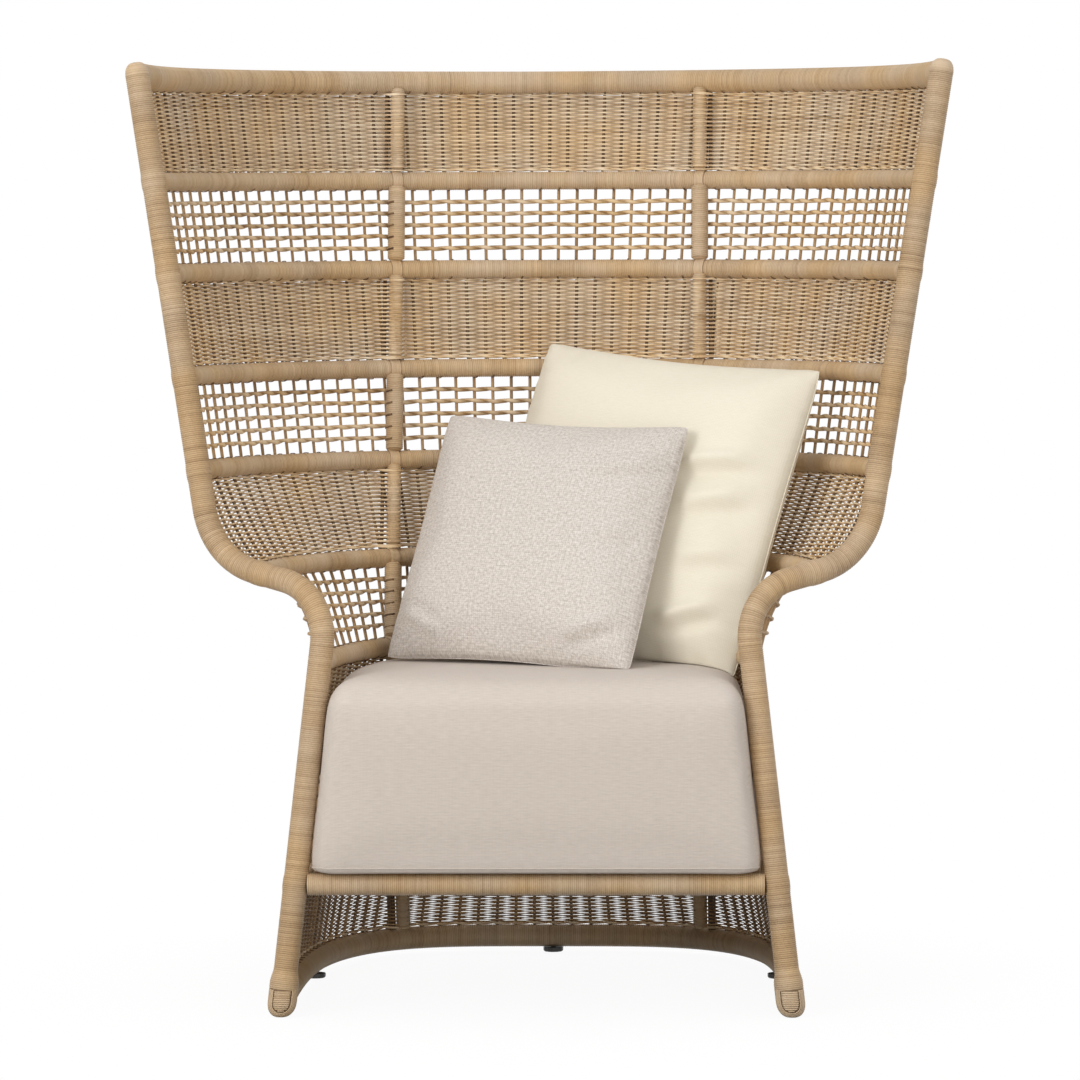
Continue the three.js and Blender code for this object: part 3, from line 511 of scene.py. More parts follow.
# %% [markdown]
# ## Bare tube, bars and glides
# Under the windings the frame is drawn aluminium tube, hardly ever seen. The two bars under
# the seat are the same metal and keep their CAD shape. The glides are moulded nylon, almost
# black with a soft sheen.

# %% Metal and plastic
# Drawn aluminium: grey metal with fine lines along the draw and a soft gloss.
aluminium, tree, shader = finish_named("drawn aluminium tube")
where = add(tree, "ShaderNodeTexCoord")
drawn = add(tree, "ShaderNodeMapping", {"Vector": where.outputs["Object"], "Scale": (900, 900, 60)})
lines = add(tree, "ShaderNodeTexNoise", {"Vector": drawn.outputs[0], "Scale": 1.0, "Detail": 2.0})
tint = add(tree, "ShaderNodeValToRGB", {"Fac": lines.outputs["Fac"]},
           ramp=[(0.3, "#a9acb0"), (0.7, "#c3c6c9")])
rough = add(tree, "ShaderNodeMapRange", {"Value": lines.outputs["Fac"], "To Min": 0.32, "To Max": 0.5})
feed(tree, shader, {"Base Color": tint.outputs["Color"], "Roughness": rough.outputs[0], "Metallic": 1.0})

# Moulded nylon: near black, with a fine grain from the mould.
nylon, tree, shader = finish_named("moulded black nylon")
where = add(tree, "ShaderNodeTexCoord")
MOULD_GRAIN = 0.0008
grain = add(tree, "ShaderNodeTexNoise",
            {"Vector": where.outputs["Object"], "Scale": 1 / MOULD_GRAIN, "Detail": 2.0})
tint = add(tree, "ShaderNodeValToRGB", {"Fac": grain.outputs["Fac"]},
           ramp=[(0.3, "#161514"), (0.7, "#24221f")])
rough = add(tree, "ShaderNodeMapRange", {"Value": grain.outputs["Fac"], "To Min": 0.42, "To Max": 0.6})
bump = add(tree, "ShaderNodeBump", {"Height": grain.outputs["Fac"], "Strength": 0.2, "Distance": 0.0002})
feed(tree, shader, {"Base Color": tint.outputs["Color"], "Roughness": rough.outputs[0],
                    "Normal": bump.outputs[0]})

for name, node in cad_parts.items():
    finish = aluminium if "seat_bar" in name else nylon if "glide" in name else None
    if finish:
        node.data.materials.clear()
        node.data.materials.append(finish)
print("finishes set on the bars and glides")


# %% Tube helper
TUBE_STEP, TUBE_SIDES = 0.012, 14


def tube(name, lines, radius, facing, node):
    """Bare tubes along some lines, as one piece."""
    parts = []
    for line in lines:
        path = spaced(line, max(6, int(length_of(line) / TUBE_STEP)))
        points, quads = sweep(path[None], facing, radius, radius, TUBE_SIDES)
        parts.append((points, quads, 0.5))
    points, quads, tone = joined(parts)
    piece(name, points, quads, tone, aluminium, "frame", [node], "aluminium_tube")


# %% [markdown]
# ## Windings
# A wound tube is one strand laid turn beside turn, about three millimetres apart. Each turn
# is a rounded ridge with a sharp groove beside it, so a ring of points lies in every groove
# and one on every ridge, and the groove's edges are marked sharp. The winder changes coils
# of fibre as the work goes on, so the tone steps every few turns.

# %% Winding helper
TURN = 0.00305
# GROOVE_SHADE lowers the tone in every groove between turns: painted shade.
GROOVE, GROOVE_SHADE = 0.0008, 0.22
RUN_TURNS, RUN_TONES = (2, 26), (0.475, 0.555)
chance = np.random.default_rng(11)


def tones_of(count):
    """One tone for each turn, in runs of a few turns."""
    out, i = np.empty(count), 0
    while i < count:
        run = int(chance.integers(*RUN_TURNS))
        out[i:i + run] = chance.uniform(*RUN_TONES)
        i += run
    soft = np.convolve(np.pad(out, 4, mode="edge"), np.ones(9) / 9, "valid")
    return 0.35 * out + 0.65 * soft + chance.normal(0, 0.032, count)


def wound(line, radius, facing, sides=16, dome=0.0, swell=None, taller=None):
    """A winding along a line: points, faces, tones, and which points lie in a groove.
    swell makes it thicker and taller makes it higher, as the run along it says."""
    turns = max(4, int(round(length_of(line) / TURN)))
    path = spaced(line, 2 * turns + 1)
    run = np.linspace(0, length_of(line), 2 * turns + 1)
    r = np.full(len(path), radius)
    if swell:
        r = r + swell(run)
    if dome:
        end = np.minimum(run, run[-1] - run)
        r = r * np.sqrt(1 - np.clip(1 - end / dome, 0, 0.93) ** 2)
    groove = np.arange(len(path)) % 2 == 0
    r = r - GROOVE * groove
    high = r + taller(run) if taller else r
    points, quads = sweep(path[None], facing, high[None], r[None], sides)
    tone = tones_of(turns + 1)[np.minimum(np.arange(len(path)) // 2, turns)]
    return points, quads, np.repeat(tone - GROOVE_SHADE * groove, sides), np.repeat(groove, sides)


# %% Rims
RIM_START, CORE_START, TIP_START = 0.030, 0.012, 1.4045
RIM_SHADE = 0.07
BUMP, BUMP_LENGTH = 0.0011, 0.011


def along_rim(z_from, z_to):
    inside = (rim_line[:, 2] > z_from) & (rim_line[:, 2] < z_to)
    return np.vstack([rim_at(z_from), rim_line[inside], rim_at(z_to)])


def sided(line, side):
    return line * np.array([side, 1, 1]) + SHIFT


def rim_bumps(run):
    """The winding is thicker where a hoop's end is tied in."""
    places = [length_of(along_rim(RIM_START, z)) for z in (*RING_Z[1:6], FRONT_RAIL_Z)]
    return sum(BUMP * np.exp(-((run - place) / BUMP_LENGTH) ** 4) for place in places)


for side, word in SIDES:
    line = sided(along_rim(RIM_START, TIP_START), side)
    points, quads, tone, groove = wound(line, MAIN_R, (0, 1, 0), sides=18, swell=rim_bumps)
    winding(f"rim_winding_{word}", f"rim_wrap_{word}", points, quads, tone - RIM_SHADE, groove)
    tube(f"rim_tube_{word}", [sided(along_rim(CORE_START, TIP_START), side)], MAIN_CORE_R, (0, 1, 0),
         f"rim_core_{word}")
print("rim windings:", len(points), "points each, on a line of", round(length_of(line), 3), "m")

# %% [markdown]
# ## Wing tips
# At the top of each wing the winding closes in on itself in smaller and smaller turns over a
# rounded plug. The same kind of rings make it, on a short line whose radius shrinks as on a
# tall dome.

# %% Wing tips
TIP_RINGS, TIP_SIDES = 17, 18
TIP_OVER, TIP_GROOVE = 0.0075, 0.0004
TIP_CLOSED, TIP_BLUNT = 0.985, 0.62
wing = unit(TIP - SHOULDER)

for side, word in SIDES:
    t = np.linspace(0, 1, TIP_RINGS)
    height = (TIP[2] + TIP_OVER - TIP_START) / wing[2] * np.sin(t * math.pi / 2)
    line = sided(rim_at(TIP_START) + wing * height[:, None], side)
    groove = np.arange(TIP_RINGS) % 2 == 0
    r = MAIN_R * np.cos(t * math.pi / 2 * TIP_CLOSED) ** TIP_BLUNT - TIP_GROOVE * groove
    points, quads = sweep(line[None], (0, 1, 0), r[None], r[None], TIP_SIDES)
    # The tone drops in every groove of the tip: painted shade.
    tone = np.repeat(0.52 + chance.normal(0, 0.04, TIP_RINGS) - 0.1 * groove, TIP_SIDES)
    winding(f"wing_tip_{word}", f"rim_tip_{word}", points, quads, tone, np.repeat(groove, TIP_SIDES))
print("wing tips closed over", round(float(height[-1]) * 1000, 1), "mm")

# %% [markdown]
# ## Rails, hoops and rings
# The top rail, the hoops, the seat ring and the rings below it are level lines from rim to
# rim, and the front rail is straight. Their windings end inside the rims' own windings, only
# the front rail's butts against the legs. The top rail rises a little into the wing tips.

# %% Rails, hoops and rings
END_RISE, END_RUN, END_DOME = 0.0036, 0.17, 0.018
RAIL_TRIM = 0.0182


def end_rise(run):
    """Half of what the top rail gains in height towards its ends."""
    return END_RISE * np.exp(-np.minimum(run, run[-1] - run) / END_RUN)


LEVEL_PIECES = ["top_rail", "hoop_1", "hoop_2", "hoop_3", "hoop_4", "hoop_5",
                "seat_ring", "skirt_hoop", "deck_ring", "base_ring"]
for k, name in enumerate(LEVEL_PIECES):
    line = ring_lines[k] + SHIFT
    ends = {}
    if name == "top_rail":
        line[:, 2] += end_rise(runs(line))
        ends = {"dome": END_DOME, "taller": end_rise}
    has_tube = name in ("top_rail", "base_ring")
    node = f"{name}_wrap" if has_tube else name
    winding(f"{name}_winding", node, *wound(line, RING_R[k], UP, sides=12, **ends))
    if has_tube:
        tube(f"{name}_tube", [line], MAIN_CORE_R, UP, f"{name}_core")
end = rim_at(FRONT_RAIL_Z) - np.array([RAIL_TRIM, 0, 0])
line = np.linspace(end * np.array([-1, 1, 1]), end, 200) + SHIFT
winding("front_rail_winding", "front_rail_wrap", *wound(line, RAIL_R, UP, sides=16))
tube("front_rail_tube", [line], RAIL_CORE_R, UP, "front_rail_core")
print("level windings:", len(LEVEL_PIECES) + 1)

# %% [markdown]
# ## Ribs
# The two upright ribs are wound between the hoops. The top of each stretch laps a little over
# the hoop above, with a rounded end. Where a rib meets a hoop, a few strands run up over the
# hoop's face from one stretch to the next, and hide where the hoop's own winding was parted.
# In dense rows the weaving strands go round the rib as well, so its own winding is thinner.

# %% Ribs
RIB_OPEN_R, RIB_DENSE_R = 0.0138, 0.0113
RIB_LAP, RIB_DOME = 0.47, 0.005
OPEN_END, DENSE_END = -0.001, 0.0025
PATCH_STRANDS, PATCH_STEP, PATCH_LIFT = 6, 0.0026, 0.0012
PATCH_FLAT, PATCH_WIDE = 0.0009, 0.0014


def rib_at(row, share):
    """A point of the right rib on the shell's line, and the outward direction there."""
    line = shell(row, share)
    t = np.interp(RIB_HALF, line[:, 0], np.arange(FINE))
    values = [np.interp(t, np.arange(FINE), column) for column in (*line.T, *outward(line).T)]
    return np.array(values[:3]), np.array(values[3:])


def rib_stretch(row, top, bottom):
    height = RING_Z[row] - RING_Z[row + 1]
    found = [rib_at(row, s) for s in np.linspace(top / height, 1 - bottom / height, 30)]
    return np.array([at - normal * RIB_INSET for at, normal in found])


def rib_patch(ring, side):
    """Strands over the face of a hoop, from one stretch of rib to the next."""
    at, normal = rib_at(ring - 1, 1.0)
    tangent = np.array([normal[1], -normal[0], 0])
    phi = np.radians(np.linspace(-70, 100, 15))[:, None]
    reach = HOOP_R + PATCH_LIFT
    arc = at - normal * reach * np.cos(phi) + UP * reach * np.sin(phi)
    places = np.arange(PATCH_STRANDS) - (PATCH_STRANDS - 1) / 2
    strips = np.stack([sided(arc + tangent * i * PATCH_STEP, side) for i in places])
    tones = 0.60 + chance.normal(0, 0.04, PATCH_STRANDS)
    return strands(strips, normal * np.array([side, 1, 1]), PATCH_FLAT, PATCH_WIDE, tones)


for side, word in SIDES:
    parts, grooves, bare = [], [], []
    for row in range(ROWS):
        top = RING_R[row] * RIB_LAP
        bottom = RING_R[row + 1] + (OPEN_END if row % 2 else DENSE_END)
        radius = RIB_OPEN_R if row % 2 else RIB_DENSE_R
        line = sided(rib_stretch(row, top, bottom), side)
        points, quads, tone, groove = wound(line, radius, (0, -1, 0), sides=16, dome=RIB_DOME)
        parts.append((points, quads, tone))
        grooves.append(groove)
        bare.append(sided(rib_stretch(row, top + 0.004, bottom + 0.003), side))
    for ring in range(1, ROWS):
        parts.append(rib_patch(ring, side))
        grooves.append(np.zeros(len(parts[-1][0]), bool))
    points, quads, tone = joined(parts)
    winding(f"rib_winding_{word}", f"rib_wrap_{word}", points, quads, tone, np.concatenate(grooves))
    tube(f"rib_tube_{word}", bare, RIB_CORE_R, (0, -1, 0), f"rib_core_{word}")
print("rib windings:", len(points), "points each")

# %% [markdown]
# ## Weaving
# Thin uprights stand just under three centimetres apart in every row. In a dense row flat
# strands run across them, over one and under the next, each strand a step against the one
# below it. Where strands part round an upright a small gap opens and lets light through.
# Painting that on a sheet would look flat from the side and shut from the front, so each
# strand is swept along its own wave. At a rib, every second strand goes round its front.
# In the lowest row, the skirt, strands are thin midway between two uprights and full where
# they bend round one, which leaves a lens-shaped hole in every cell.

# %% Weaving sizes
CELL, SIDE_CELL = 0.0287, 0.0267
WEFT = 0.00305
WAVE, SKIRT_WAVE = 0.0034, 0.0025
RIB_REACH, BEHIND_RIB = 0.027, 0.0015
UPRIGHT = 0.0050
TIE_LIFT, TIE_FLAT, TIE_WIDE = 0.0005, 0.0007, 0.0014
# Angles round a rail in degrees: where a tie comes from, and where it ends above or below.
TIE_FROM, TIE_ABOVE, TIE_BELOW = -40, (14, 46), 12
TIE_SLANT = (-0.0010, 0.0050)
STAKES, SKIRT_STAKES = (0.0135,), (0.009, 0.0135, 0.018)
STAKE_R, STAKE_IN = 0.003, 0.006


def cells_before(row):
    """How many cells of a row lie before each place across it. Outside the ribs they are narrower."""
    line = shell(row, 0.5)
    beside = np.abs(line[1:, 0] + line[:-1, 0]) / 2 > RIB_HALF
    cells = np.cumsum(np.linalg.norm(np.diff(line, axis=0), axis=1) / np.where(beside, SIDE_CELL, CELL))
    return np.append(0, cells) * round(cells[-1]) / cells[-1]


measure = [cells_before(row) for row in range(ROWS)]


def place_of(row, cells):
    return np.interp(cells, measure[row], across)


def rib_cells(row, shares):
    """Where the right rib crosses strands at some shares of the height, in cells."""
    at = [np.interp(RIB_HALF, shell(row, s)[:, 0], measure[row]) for s in shares]
    return np.array(at)


def stations(row, count, marks, close):
    """Places along a strand in cells: some marks in each cell, and more round both ribs."""
    middle = rib_cells(row, [0.0, 1.0])
    first, last = math.floor(middle.min()), math.ceil(middle.max())
    fine = np.linspace(first, last, (last - first) * close + 1)
    plain = (np.arange(count)[:, None] + np.asarray(marks)).ravel()
    return np.unique(np.round(np.concatenate([plain, [count], fine, count - fine]), 5))


def over_ribs(row, count, shares, cells, grid, radius):
    """How far strands come forward round both ribs, and how firmly they are held there."""
    run = runs(grid)
    forward, held = np.zeros(run.shape), np.zeros(run.shape)
    middle = rib_cells(row, shares)
    for rib in (middle, count - middle):
        off = np.abs(run - np.array([np.interp(c, cells, r) for c, r in zip(rib, run)])[:, None])
        t = np.clip((off - radius) / (RIB_REACH - radius), 0, 1)
        near = 1 - t * t * (3 - 2 * t)
        held = held + near
        bulge = np.sqrt(np.maximum(radius ** 2 - off ** 2, 0))
        forward = forward + (WEAVE_OUTSET + RIB_INSET) * near + bulge
    return forward, held


print("cells in each row:", [round(m[-1]) for m in measure])


# %% Uprights, twined pairs and ties
def uprights(row, count, tone):
    """The thin uprights of a row, from ring to ring."""
    places = place_of(row, np.arange(1, count))
    grid = columns(row, places, np.linspace(0.03, 0.97, 13)).transpose(1, 0, 2)
    normal = picked(places, outward(shell(row, 0.5)))[:, None]
    tones = chance.uniform(tone - 0.06, tone + 0.06, len(grid))
    return strands(grid[:, ::-1] + SHIFT, normal, UPRIGHT / 2, UPRIGHT / 2, tones)


def strand_tones(count, places, middle):
    """A tone for each strand that drifts slowly along it."""
    base = chance.uniform(middle - 0.06, middle + 0.06, count)[:, None]
    knots = chance.normal(0, 0.05, (count, 14))
    return base + np.stack([np.interp(np.linspace(0, 13, places), np.arange(14), k) for k in knots])


def twined(row, count, shares, thick, middle, rib_r=None):
    """Pairs of strands that twist round each other, round the ribs' fronts or behind them."""
    shares = np.asarray(shares)
    cells = stations(row, count, np.arange(6) / 6, 12 if rib_r else 6)
    grid = columns(row, place_of(row, cells), shares)
    normal = outward(grid)
    forward, held = np.zeros(grid.shape[:2]), np.zeros(grid.shape[:2])
    if rib_r:
        forward, held = over_ribs(row, count, shares, cells, grid, rib_r + 0.0008)
    phase = math.pi * (cells + np.arange(len(shares))[:, None])
    drops = chance.normal(0, thick * 0.10, (len(shares), count + 1))
    uneven = np.stack([np.interp(cells, np.arange(count + 1), d) for d in drops])
    parts = []
    for sign in (-1, 1):
        wave = sign * np.cos(phase) * thick * 0.95 * (1 - held)
        wave = wave - forward if sign > 0 else wave + BEHIND_RIB * held
        rise = sign * np.sin(phase) * thick * 0.32 * (1 - held) + uneven
        line = grid + normal * wave[..., None] + UP * rise[..., None]
        knot = np.clip(-sign * np.cos(phase), 0, 1) ** 2
        # Painted highlight: a pair is made lighter where it comes forward round an upright.
        tones = strand_tones(len(shares), len(cells), middle) + 0.22 * knot
        parts.append(strands(line + SHIFT, normal, thick * 0.38, thick * (0.36 + 0.3 * knot), tones))
    return parts


def ties(row, count, ring):
    """The ends of the uprights, hooked round the rail above a row or below it."""
    places = place_of(row, np.arange(2, count - 1))
    at = picked(places, ring_lines[ring])[:, None]
    normal = picked(places, outward(ring_lines[ring]))[:, None]
    tangent = np.stack([normal[..., 1], -normal[..., 0], normal[..., 2]], -1)
    t = np.linspace(0, 1, 7)[None, :, None]
    reach = chance.uniform(*TIE_ABOVE, (len(places), 1, 1)) if ring == row else TIE_BELOW
    phi = np.radians(TIE_FROM + (reach - TIE_FROM) * t)
    slant = chance.uniform(*TIE_SLANT, (len(places), 1, 1)) * (t - 0.3)
    toward = -UP if ring == row else UP
    around_rail = toward * np.cos(phi) - normal * np.sin(phi)
    line = at + around_rail * (RING_R[ring] + TIE_LIFT) + tangent * slant
    tones = chance.uniform(0.0, 0.12, len(places))
    return strands(line + SHIFT, around_rail, TIE_FLAT, TIE_WIDE, tones)


def rib_turns(row, shares):
    """Short dark turns at a rib's left edge, where a pair is tied to it."""
    lines, facing = [], []
    t = np.linspace(0, 1, 7)[:, None]
    phi = np.radians(38 + 85 * t)
    for side in (-1, 1):
        for share in shares:
            at, normal = rib_at(row, share)
            back = normal * np.array([side, 1, 1])
            left = np.array([-back[1], back[0], 0])
            facing.append(left * np.sin(phi) - back * np.cos(phi))
            lines.append(sided(at - normal * RIB_INSET, side) + facing[-1] * (RIB_OPEN_R + TIE_LIFT)
                         - UP * 0.004 * (t - 0.3))
    tones = chance.uniform(0.0, 0.1, len(lines))
    return strands(np.stack(lines), np.stack(facing), 0.0009, 0.0016, tones)


def rib_stakes(row):
    """Dark stakes beside each rib of a dense row, which strands pass on either side: one at its
    left and one at its right, and three at each side in the skirt, whose holes are wider."""
    lines = []
    found = [rib_at(row, share) for share in np.linspace(0.10, 0.90, 9)]
    offsets = SKIRT_STAKES if row == SKIRT_ROW else STAKES
    for side in (-1, 1):
        for aside in [way * offset for offset in offsets for way in (-1, 1)]:
            lines.append(np.array([sided(at + n * (WEAVE_OUTSET - STAKE_IN)
                                         + np.array([n[1], -n[0], 0]) * aside, side) for at, n in found]))
    # The stakes' near-black tone is painted shade: it stands for the deep, shaded notches beside each rib
    # and for the skirt's shade.
    return strands(np.stack(lines), (0, 1, 0), STAKE_R, STAKE_R, 0.02)


# %% Dense rows
WEFT_MARKS, SKIRT_MARKS = (0.0, 0.30, 0.44, 0.56, 0.70), (0.0, 0.22, 0.5, 0.78)
# Half sizes of a strand. In the skirt the taller one follows how near an upright is, 0 to 1.
STRAND_FLAT, STRAND_TALL = 0.00085, 0.00152
SKIRT_NEAR, SKIRT_TALL = (0.0, 0.5, 0.82), (0.00081, 0.00100, 0.00145)
# The skirt's strands get a much darker tone than the other rows: painted shade for the space under the seat.
STRAND_TONE, SKIRT_SHADED_TONE = 0.46, 0.14
EDGE_GAP = 0.0048
BORDER, BORDER_UPPER, BORDER_LOWER = 0.0034, 0.0010, 0.0022

for row in range(0, ROWS, 2):
    skirt = row == SKIRT_ROW
    count = round(measure[row][-1])
    height = RING_Z[row] - RING_Z[row + 1]
    top, bottom = RING_R[row] + EDGE_GAP, RING_R[row + 1] + EDGE_GAP
    wefts = int(round((height - top - bottom) / WEFT))
    shares = np.linspace(top / height, 1 - bottom / height, wefts)
    cells = stations(row, count, *((SKIRT_MARKS, 4) if skirt else (WEFT_MARKS, 8)))
    grid = columns(row, place_of(row, cells), shares)
    normal = outward(grid)
    step = np.arange(wefts)[:, None]
    forward, held = over_ribs(row, count, shares, cells, grid, RIB_DENSE_R)
    turn = np.cos(math.pi * (cells + step))
    depth = SKIRT_WAVE if skirt else WAVE
    wave = depth * np.sign(turn) * np.abs(turn) ** 0.55 * (1 - held)
    wave = np.where(step % 2, wave - forward, wave + BEHIND_RIB * held)
    tall = np.interp(np.abs(turn), SKIRT_NEAR, SKIRT_TALL) if skirt else STRAND_TALL
    tones = strand_tones(wefts, len(cells), SKIRT_SHADED_TONE if skirt else STRAND_TONE)
    # Painted highlight and shade: each strand is lighter where it floats in front of an upright and darker
    # midway between uprights, where it crosses to the back.
    tones = tones + 0.2 * np.clip(-turn, 0, 1) - 0.12 * (1 - np.abs(turn))
    # The dense rows' uprights are near black: darker fibre, and painted shade for the deep gaps where they
    # show between the strands.
    parts = [strands(grid + normal * wave[..., None] + SHIFT, normal, STRAND_FLAT, tall, tones),
             uprights(row, count, tone=0.05), rib_stakes(row)]
    borders = [(RING_R[row] + BORDER_UPPER) / height, 1 - (RING_R[row + 1] + BORDER_LOWER) / height]
    parts += twined(row, count, borders, BORDER, middle=0.5, rib_r=RIB_DENSE_R)
    parts += [ties(row, count, row), ties(row, count, row + 1)]
    faces = weaving(f"dense_row_{row + 1}", f"weave_{row + 1}_dense", parts)
    print("dense row", row + 1, "has", wefts, "strands over", count - 1, "uprights,", faces, "faces")

# %% [markdown]
# ## Open rows
# An open row has the same uprights, and only five twined pairs run across them, so light
# falls through. A pair crosses over between two uprights and holds each one in its twist.

# %% Open rows
PAIRS, PAIR_THICK = 5, 0.0052
for row in range(1, ROWS, 2):
    count = round(measure[row][-1])
    height = RING_Z[row] - RING_Z[row + 1]
    edge = HOOP_R / height
    shares = edge + (1 - 2 * edge) * np.arange(1, PAIRS + 1) / (PAIRS + 1)
    # The uprights and pairs of an open row are darker than the dense rows' strands: painted shade, as these
    # rows are seen against the light.
    parts = [uprights(row, count, tone=0.22), rib_turns(row, shares)]
    parts += twined(row, count, shares, PAIR_THICK, middle=0.30)
    parts += [ties(row, count, row), ties(row, count, row + 1)]
    faces = weaving(f"open_row_{row + 1}", f"weave_{row + 1}_open", parts)
    print("open row", row + 1, "has", faces, "faces")

# %% [markdown]
# ## Feet
# Each leg ends in a wound shoe: a collar of level turns, then a rounded toe that stands on
# the floor. Strands run down one side of the toe, under it and up the other side, nested like
# the letter U, and a tongue of level turns fills the space between them, with a dark seam
# round it, where the near-black core shows through as painted shade. The toe is a squared
# ball below and a round post above, so one formula gives the depth of each strand.

# %% Feet
TOE_R, TOE_Z, TOE_POWER = 0.0209, 0.0240, 2.4
COLLAR_Z, COLLAR_TOP, COLLAR_R = 0.040, 0.072, 0.0223
leg = unit(WAIST - FOOT)


def toe_depth(x, z):
    """How far the toe's skin stands in front of its middle."""
    below = np.clip((TOE_Z - z) / TOE_Z, 0, 1)
    r = TOE_R * np.clip(1 - below ** TOE_POWER, 0, 1) ** (1 / TOE_POWER)
    return np.sqrt(np.clip(r * r - x * x, 0, None))


def on_leg(x, y, z):
    return FOOT + leg * (z / leg[2])[..., None] + np.stack([x, y, np.zeros_like(x)], -1)


def toe_loop(share, front):
    """One U-shaped strand: 1 is the outline seen from the front, 0 the middle of the toe."""
    turn = np.linspace(0, math.pi, 25)
    c, s = np.cos(turn), np.maximum(np.sin(turn), 0)
    x = share * TOE_R * np.sign(c) * np.abs(c) ** (2 / TOE_POWER)
    z = TOE_Z - share * TOE_Z * s ** (2 / TOE_POWER)
    rise = np.linspace(COLLAR_Z + 0.002, TOE_Z, 7)[:-1]
    x = np.concatenate([np.full(6, x[0]), x, np.full(6, x[-1])])
    z = np.concatenate([rise, z, rise[::-1]])
    return on_leg(x, -front * toe_depth(x, z), z)


def toe_core():
    z = np.linspace(0.0012, COLLAR_Z + 0.004, 26)
    r = toe_depth(np.zeros(26), z) * 0.95 + 0.0001
    line = on_leg(np.zeros(26), np.zeros(26), z)
    return line, r


def collar_ease(run):
    """The collar's winding eases into the leg's above it, and rounds off below."""
    t = np.clip((run - 0.010) / (run[-1] - 0.010), 0, 1)
    return (MAIN_R + 0.0002 - COLLAR_R) * t * t * (3 - 2 * t) - 0.0012 * np.exp(-run / 0.0008)


# %% Shoes
TONGUE_STEP, TONGUE_WIDTH, TONGUE_LOW = 0.0028, 0.575, 0.45
STRAND_IN, LOOP_HALF, TONGUE_HALF = 0.0011, 0.00132, 0.0015
TONGUE_OUT, FLOOR_GAP = 0.0002, 0.0001

for side, word in SIDES:
    collar = FOOT + leg * (np.linspace(COLLAR_Z, COLLAR_TOP, 40) / leg[2])[:, None]
    points, quads, tone, groove = wound(sided(collar, side), COLLAR_R, (0, 1, 0), sides=20,
                                        swell=collar_ease)
    parts = [(points, quads, tone)]
    # The core under the toe's strands is near black: painted shade, where it shows in the gaps between them.
    line, r = toe_core()
    parts.append((*sweep(sided(line, side)[None], (0, 1, 0), r[None], r[None], 20), 0.1))
    axis = sided(FOOT + leg * 0.03, side)
    tilts = np.radians(np.arange(45, 91, 7.5))
    loops = [toe_loop(math.sin(a), 1) for a in tilts] + [toe_loop(math.sin(a), -1) for a in tilts[:-1]]
    loops = np.stack([sided(spaced(loop, 37), side) for loop in loops])
    tones = 0.5 + chance.normal(0, 0.05, len(loops))
    parts.append(strands(loops, unit(loops - axis), STRAND_IN, LOOP_HALF, tones))
    tongue = []
    for z in np.arange(TOE_Z * TONGUE_LOW, COLLAR_Z, TONGUE_STEP):
        below = max(0.0, (TOE_Z - z) / TOE_Z)
        half = TOE_R * max(TONGUE_WIDTH ** TOE_POWER - below ** TOE_POWER, 0.004) ** (1 / TOE_POWER)
        x = np.linspace(-half, half, 13)
        heights = np.full_like(x, z)
        for front in (-1, 1):
            depth = front * (toe_depth(x, heights) + TONGUE_OUT)
            tongue.append(sided(on_leg(x, depth, heights), side))
    tongue = np.stack(tongue)
    tones = 0.52 + chance.normal(0, 0.05, len(tongue))
    parts.append(strands(tongue, unit(tongue - axis), STRAND_IN, TONGUE_HALF, tones))
    points, quads, tone = joined(parts)
    points[:, 2] = np.maximum(points[:, 2], FLOOR_GAP)
    grooves = np.concatenate([groove, np.zeros(len(points) - len(groove), bool)])
    winding(f"shoe_{word}", f"foot_shoe_{word}", points, quads, tone, grooves)
print("shoes:", len(points), "points each")

# %% [markdown]
# ## Seat deck
# Under the cushion lies a mat of flat strands, two ways, tied to the deck ring. From below it
# shows as a plain weave, so it is made of real strands too, but wider ones.

# %% Seat deck
deck_low, deck_high = (np.array(c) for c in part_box("seat_deck"))
deck_z = (deck_low[2] + deck_high[2]) / 2
STRAP, STRAP_HALF, STRAP_WAVE = 0.011, 0.0008, 0.0011
DECK_SIDE, DECK_END = 0.010, 0.012
right_side = ring_lines[LEVEL_PIECES.index("deck_ring")][FINE // 2:] + SHIFT


def half_width(y):
    return np.interp(-y, -right_side[:, 1], right_side[:, 0]) - DECK_SIDE


def strap(line):
    return strands(line[None], UP, STRAP_HALF, STRAP * 0.46, 0.4 + chance.normal(0, 0.06))


ys = np.arange(deck_low[1] + DECK_END, deck_high[1] - DECK_END, STRAP)
parts = []
for i, y in enumerate(ys):
    half = half_width(y)
    x = np.linspace(-half, half, 2 * int(half / STRAP) + 1)
    wave = deck_z + STRAP_WAVE * np.cos(math.pi * (x / STRAP + i))
    parts.append(strap(np.stack([x, np.full_like(x, y), wave], 1)))
for k in range(-31, 32):
    x = k * STRAP
    index = np.flatnonzero(half_width(ys) > abs(x))
    if len(index) < 6:
        continue
    wave = deck_z - STRAP_WAVE * np.cos(math.pi * (k + index))
    parts.append(strap(np.stack([np.full(len(index), x), ys[index], wave], 1)))
weaving("seat_mat", "seat_deck", parts)
print("seat mat:", len(parts), "strands")

# %% [markdown]
# ## Cloth
# The cushions are sewn covers over foam and fibre. Blender's cloth simulation with a little
# air pressure gives their fullness: the seat starts slightly small and the pillows slightly
# thin, and they swell for twenty frames. No point may travel further than a limit, three
# millimetres for the seat and a little over a centimetre for the pillows, so that each stays in
# its place in the chair.

# %% Cloth helpers
FRAMES = 20
SEAM_HALF = 0.0008


def positions(mesh):
    out = np.empty(len(mesh.vertices) * 3, np.float32)
    mesh.vertices.foreach_get("co", out)
    return out.reshape(-1, 3).astype(float)


def set_positions(mesh, at):
    mesh.vertices.foreach_set("co", np.ascontiguousarray(at, np.float32).ravel())
    mesh.update()


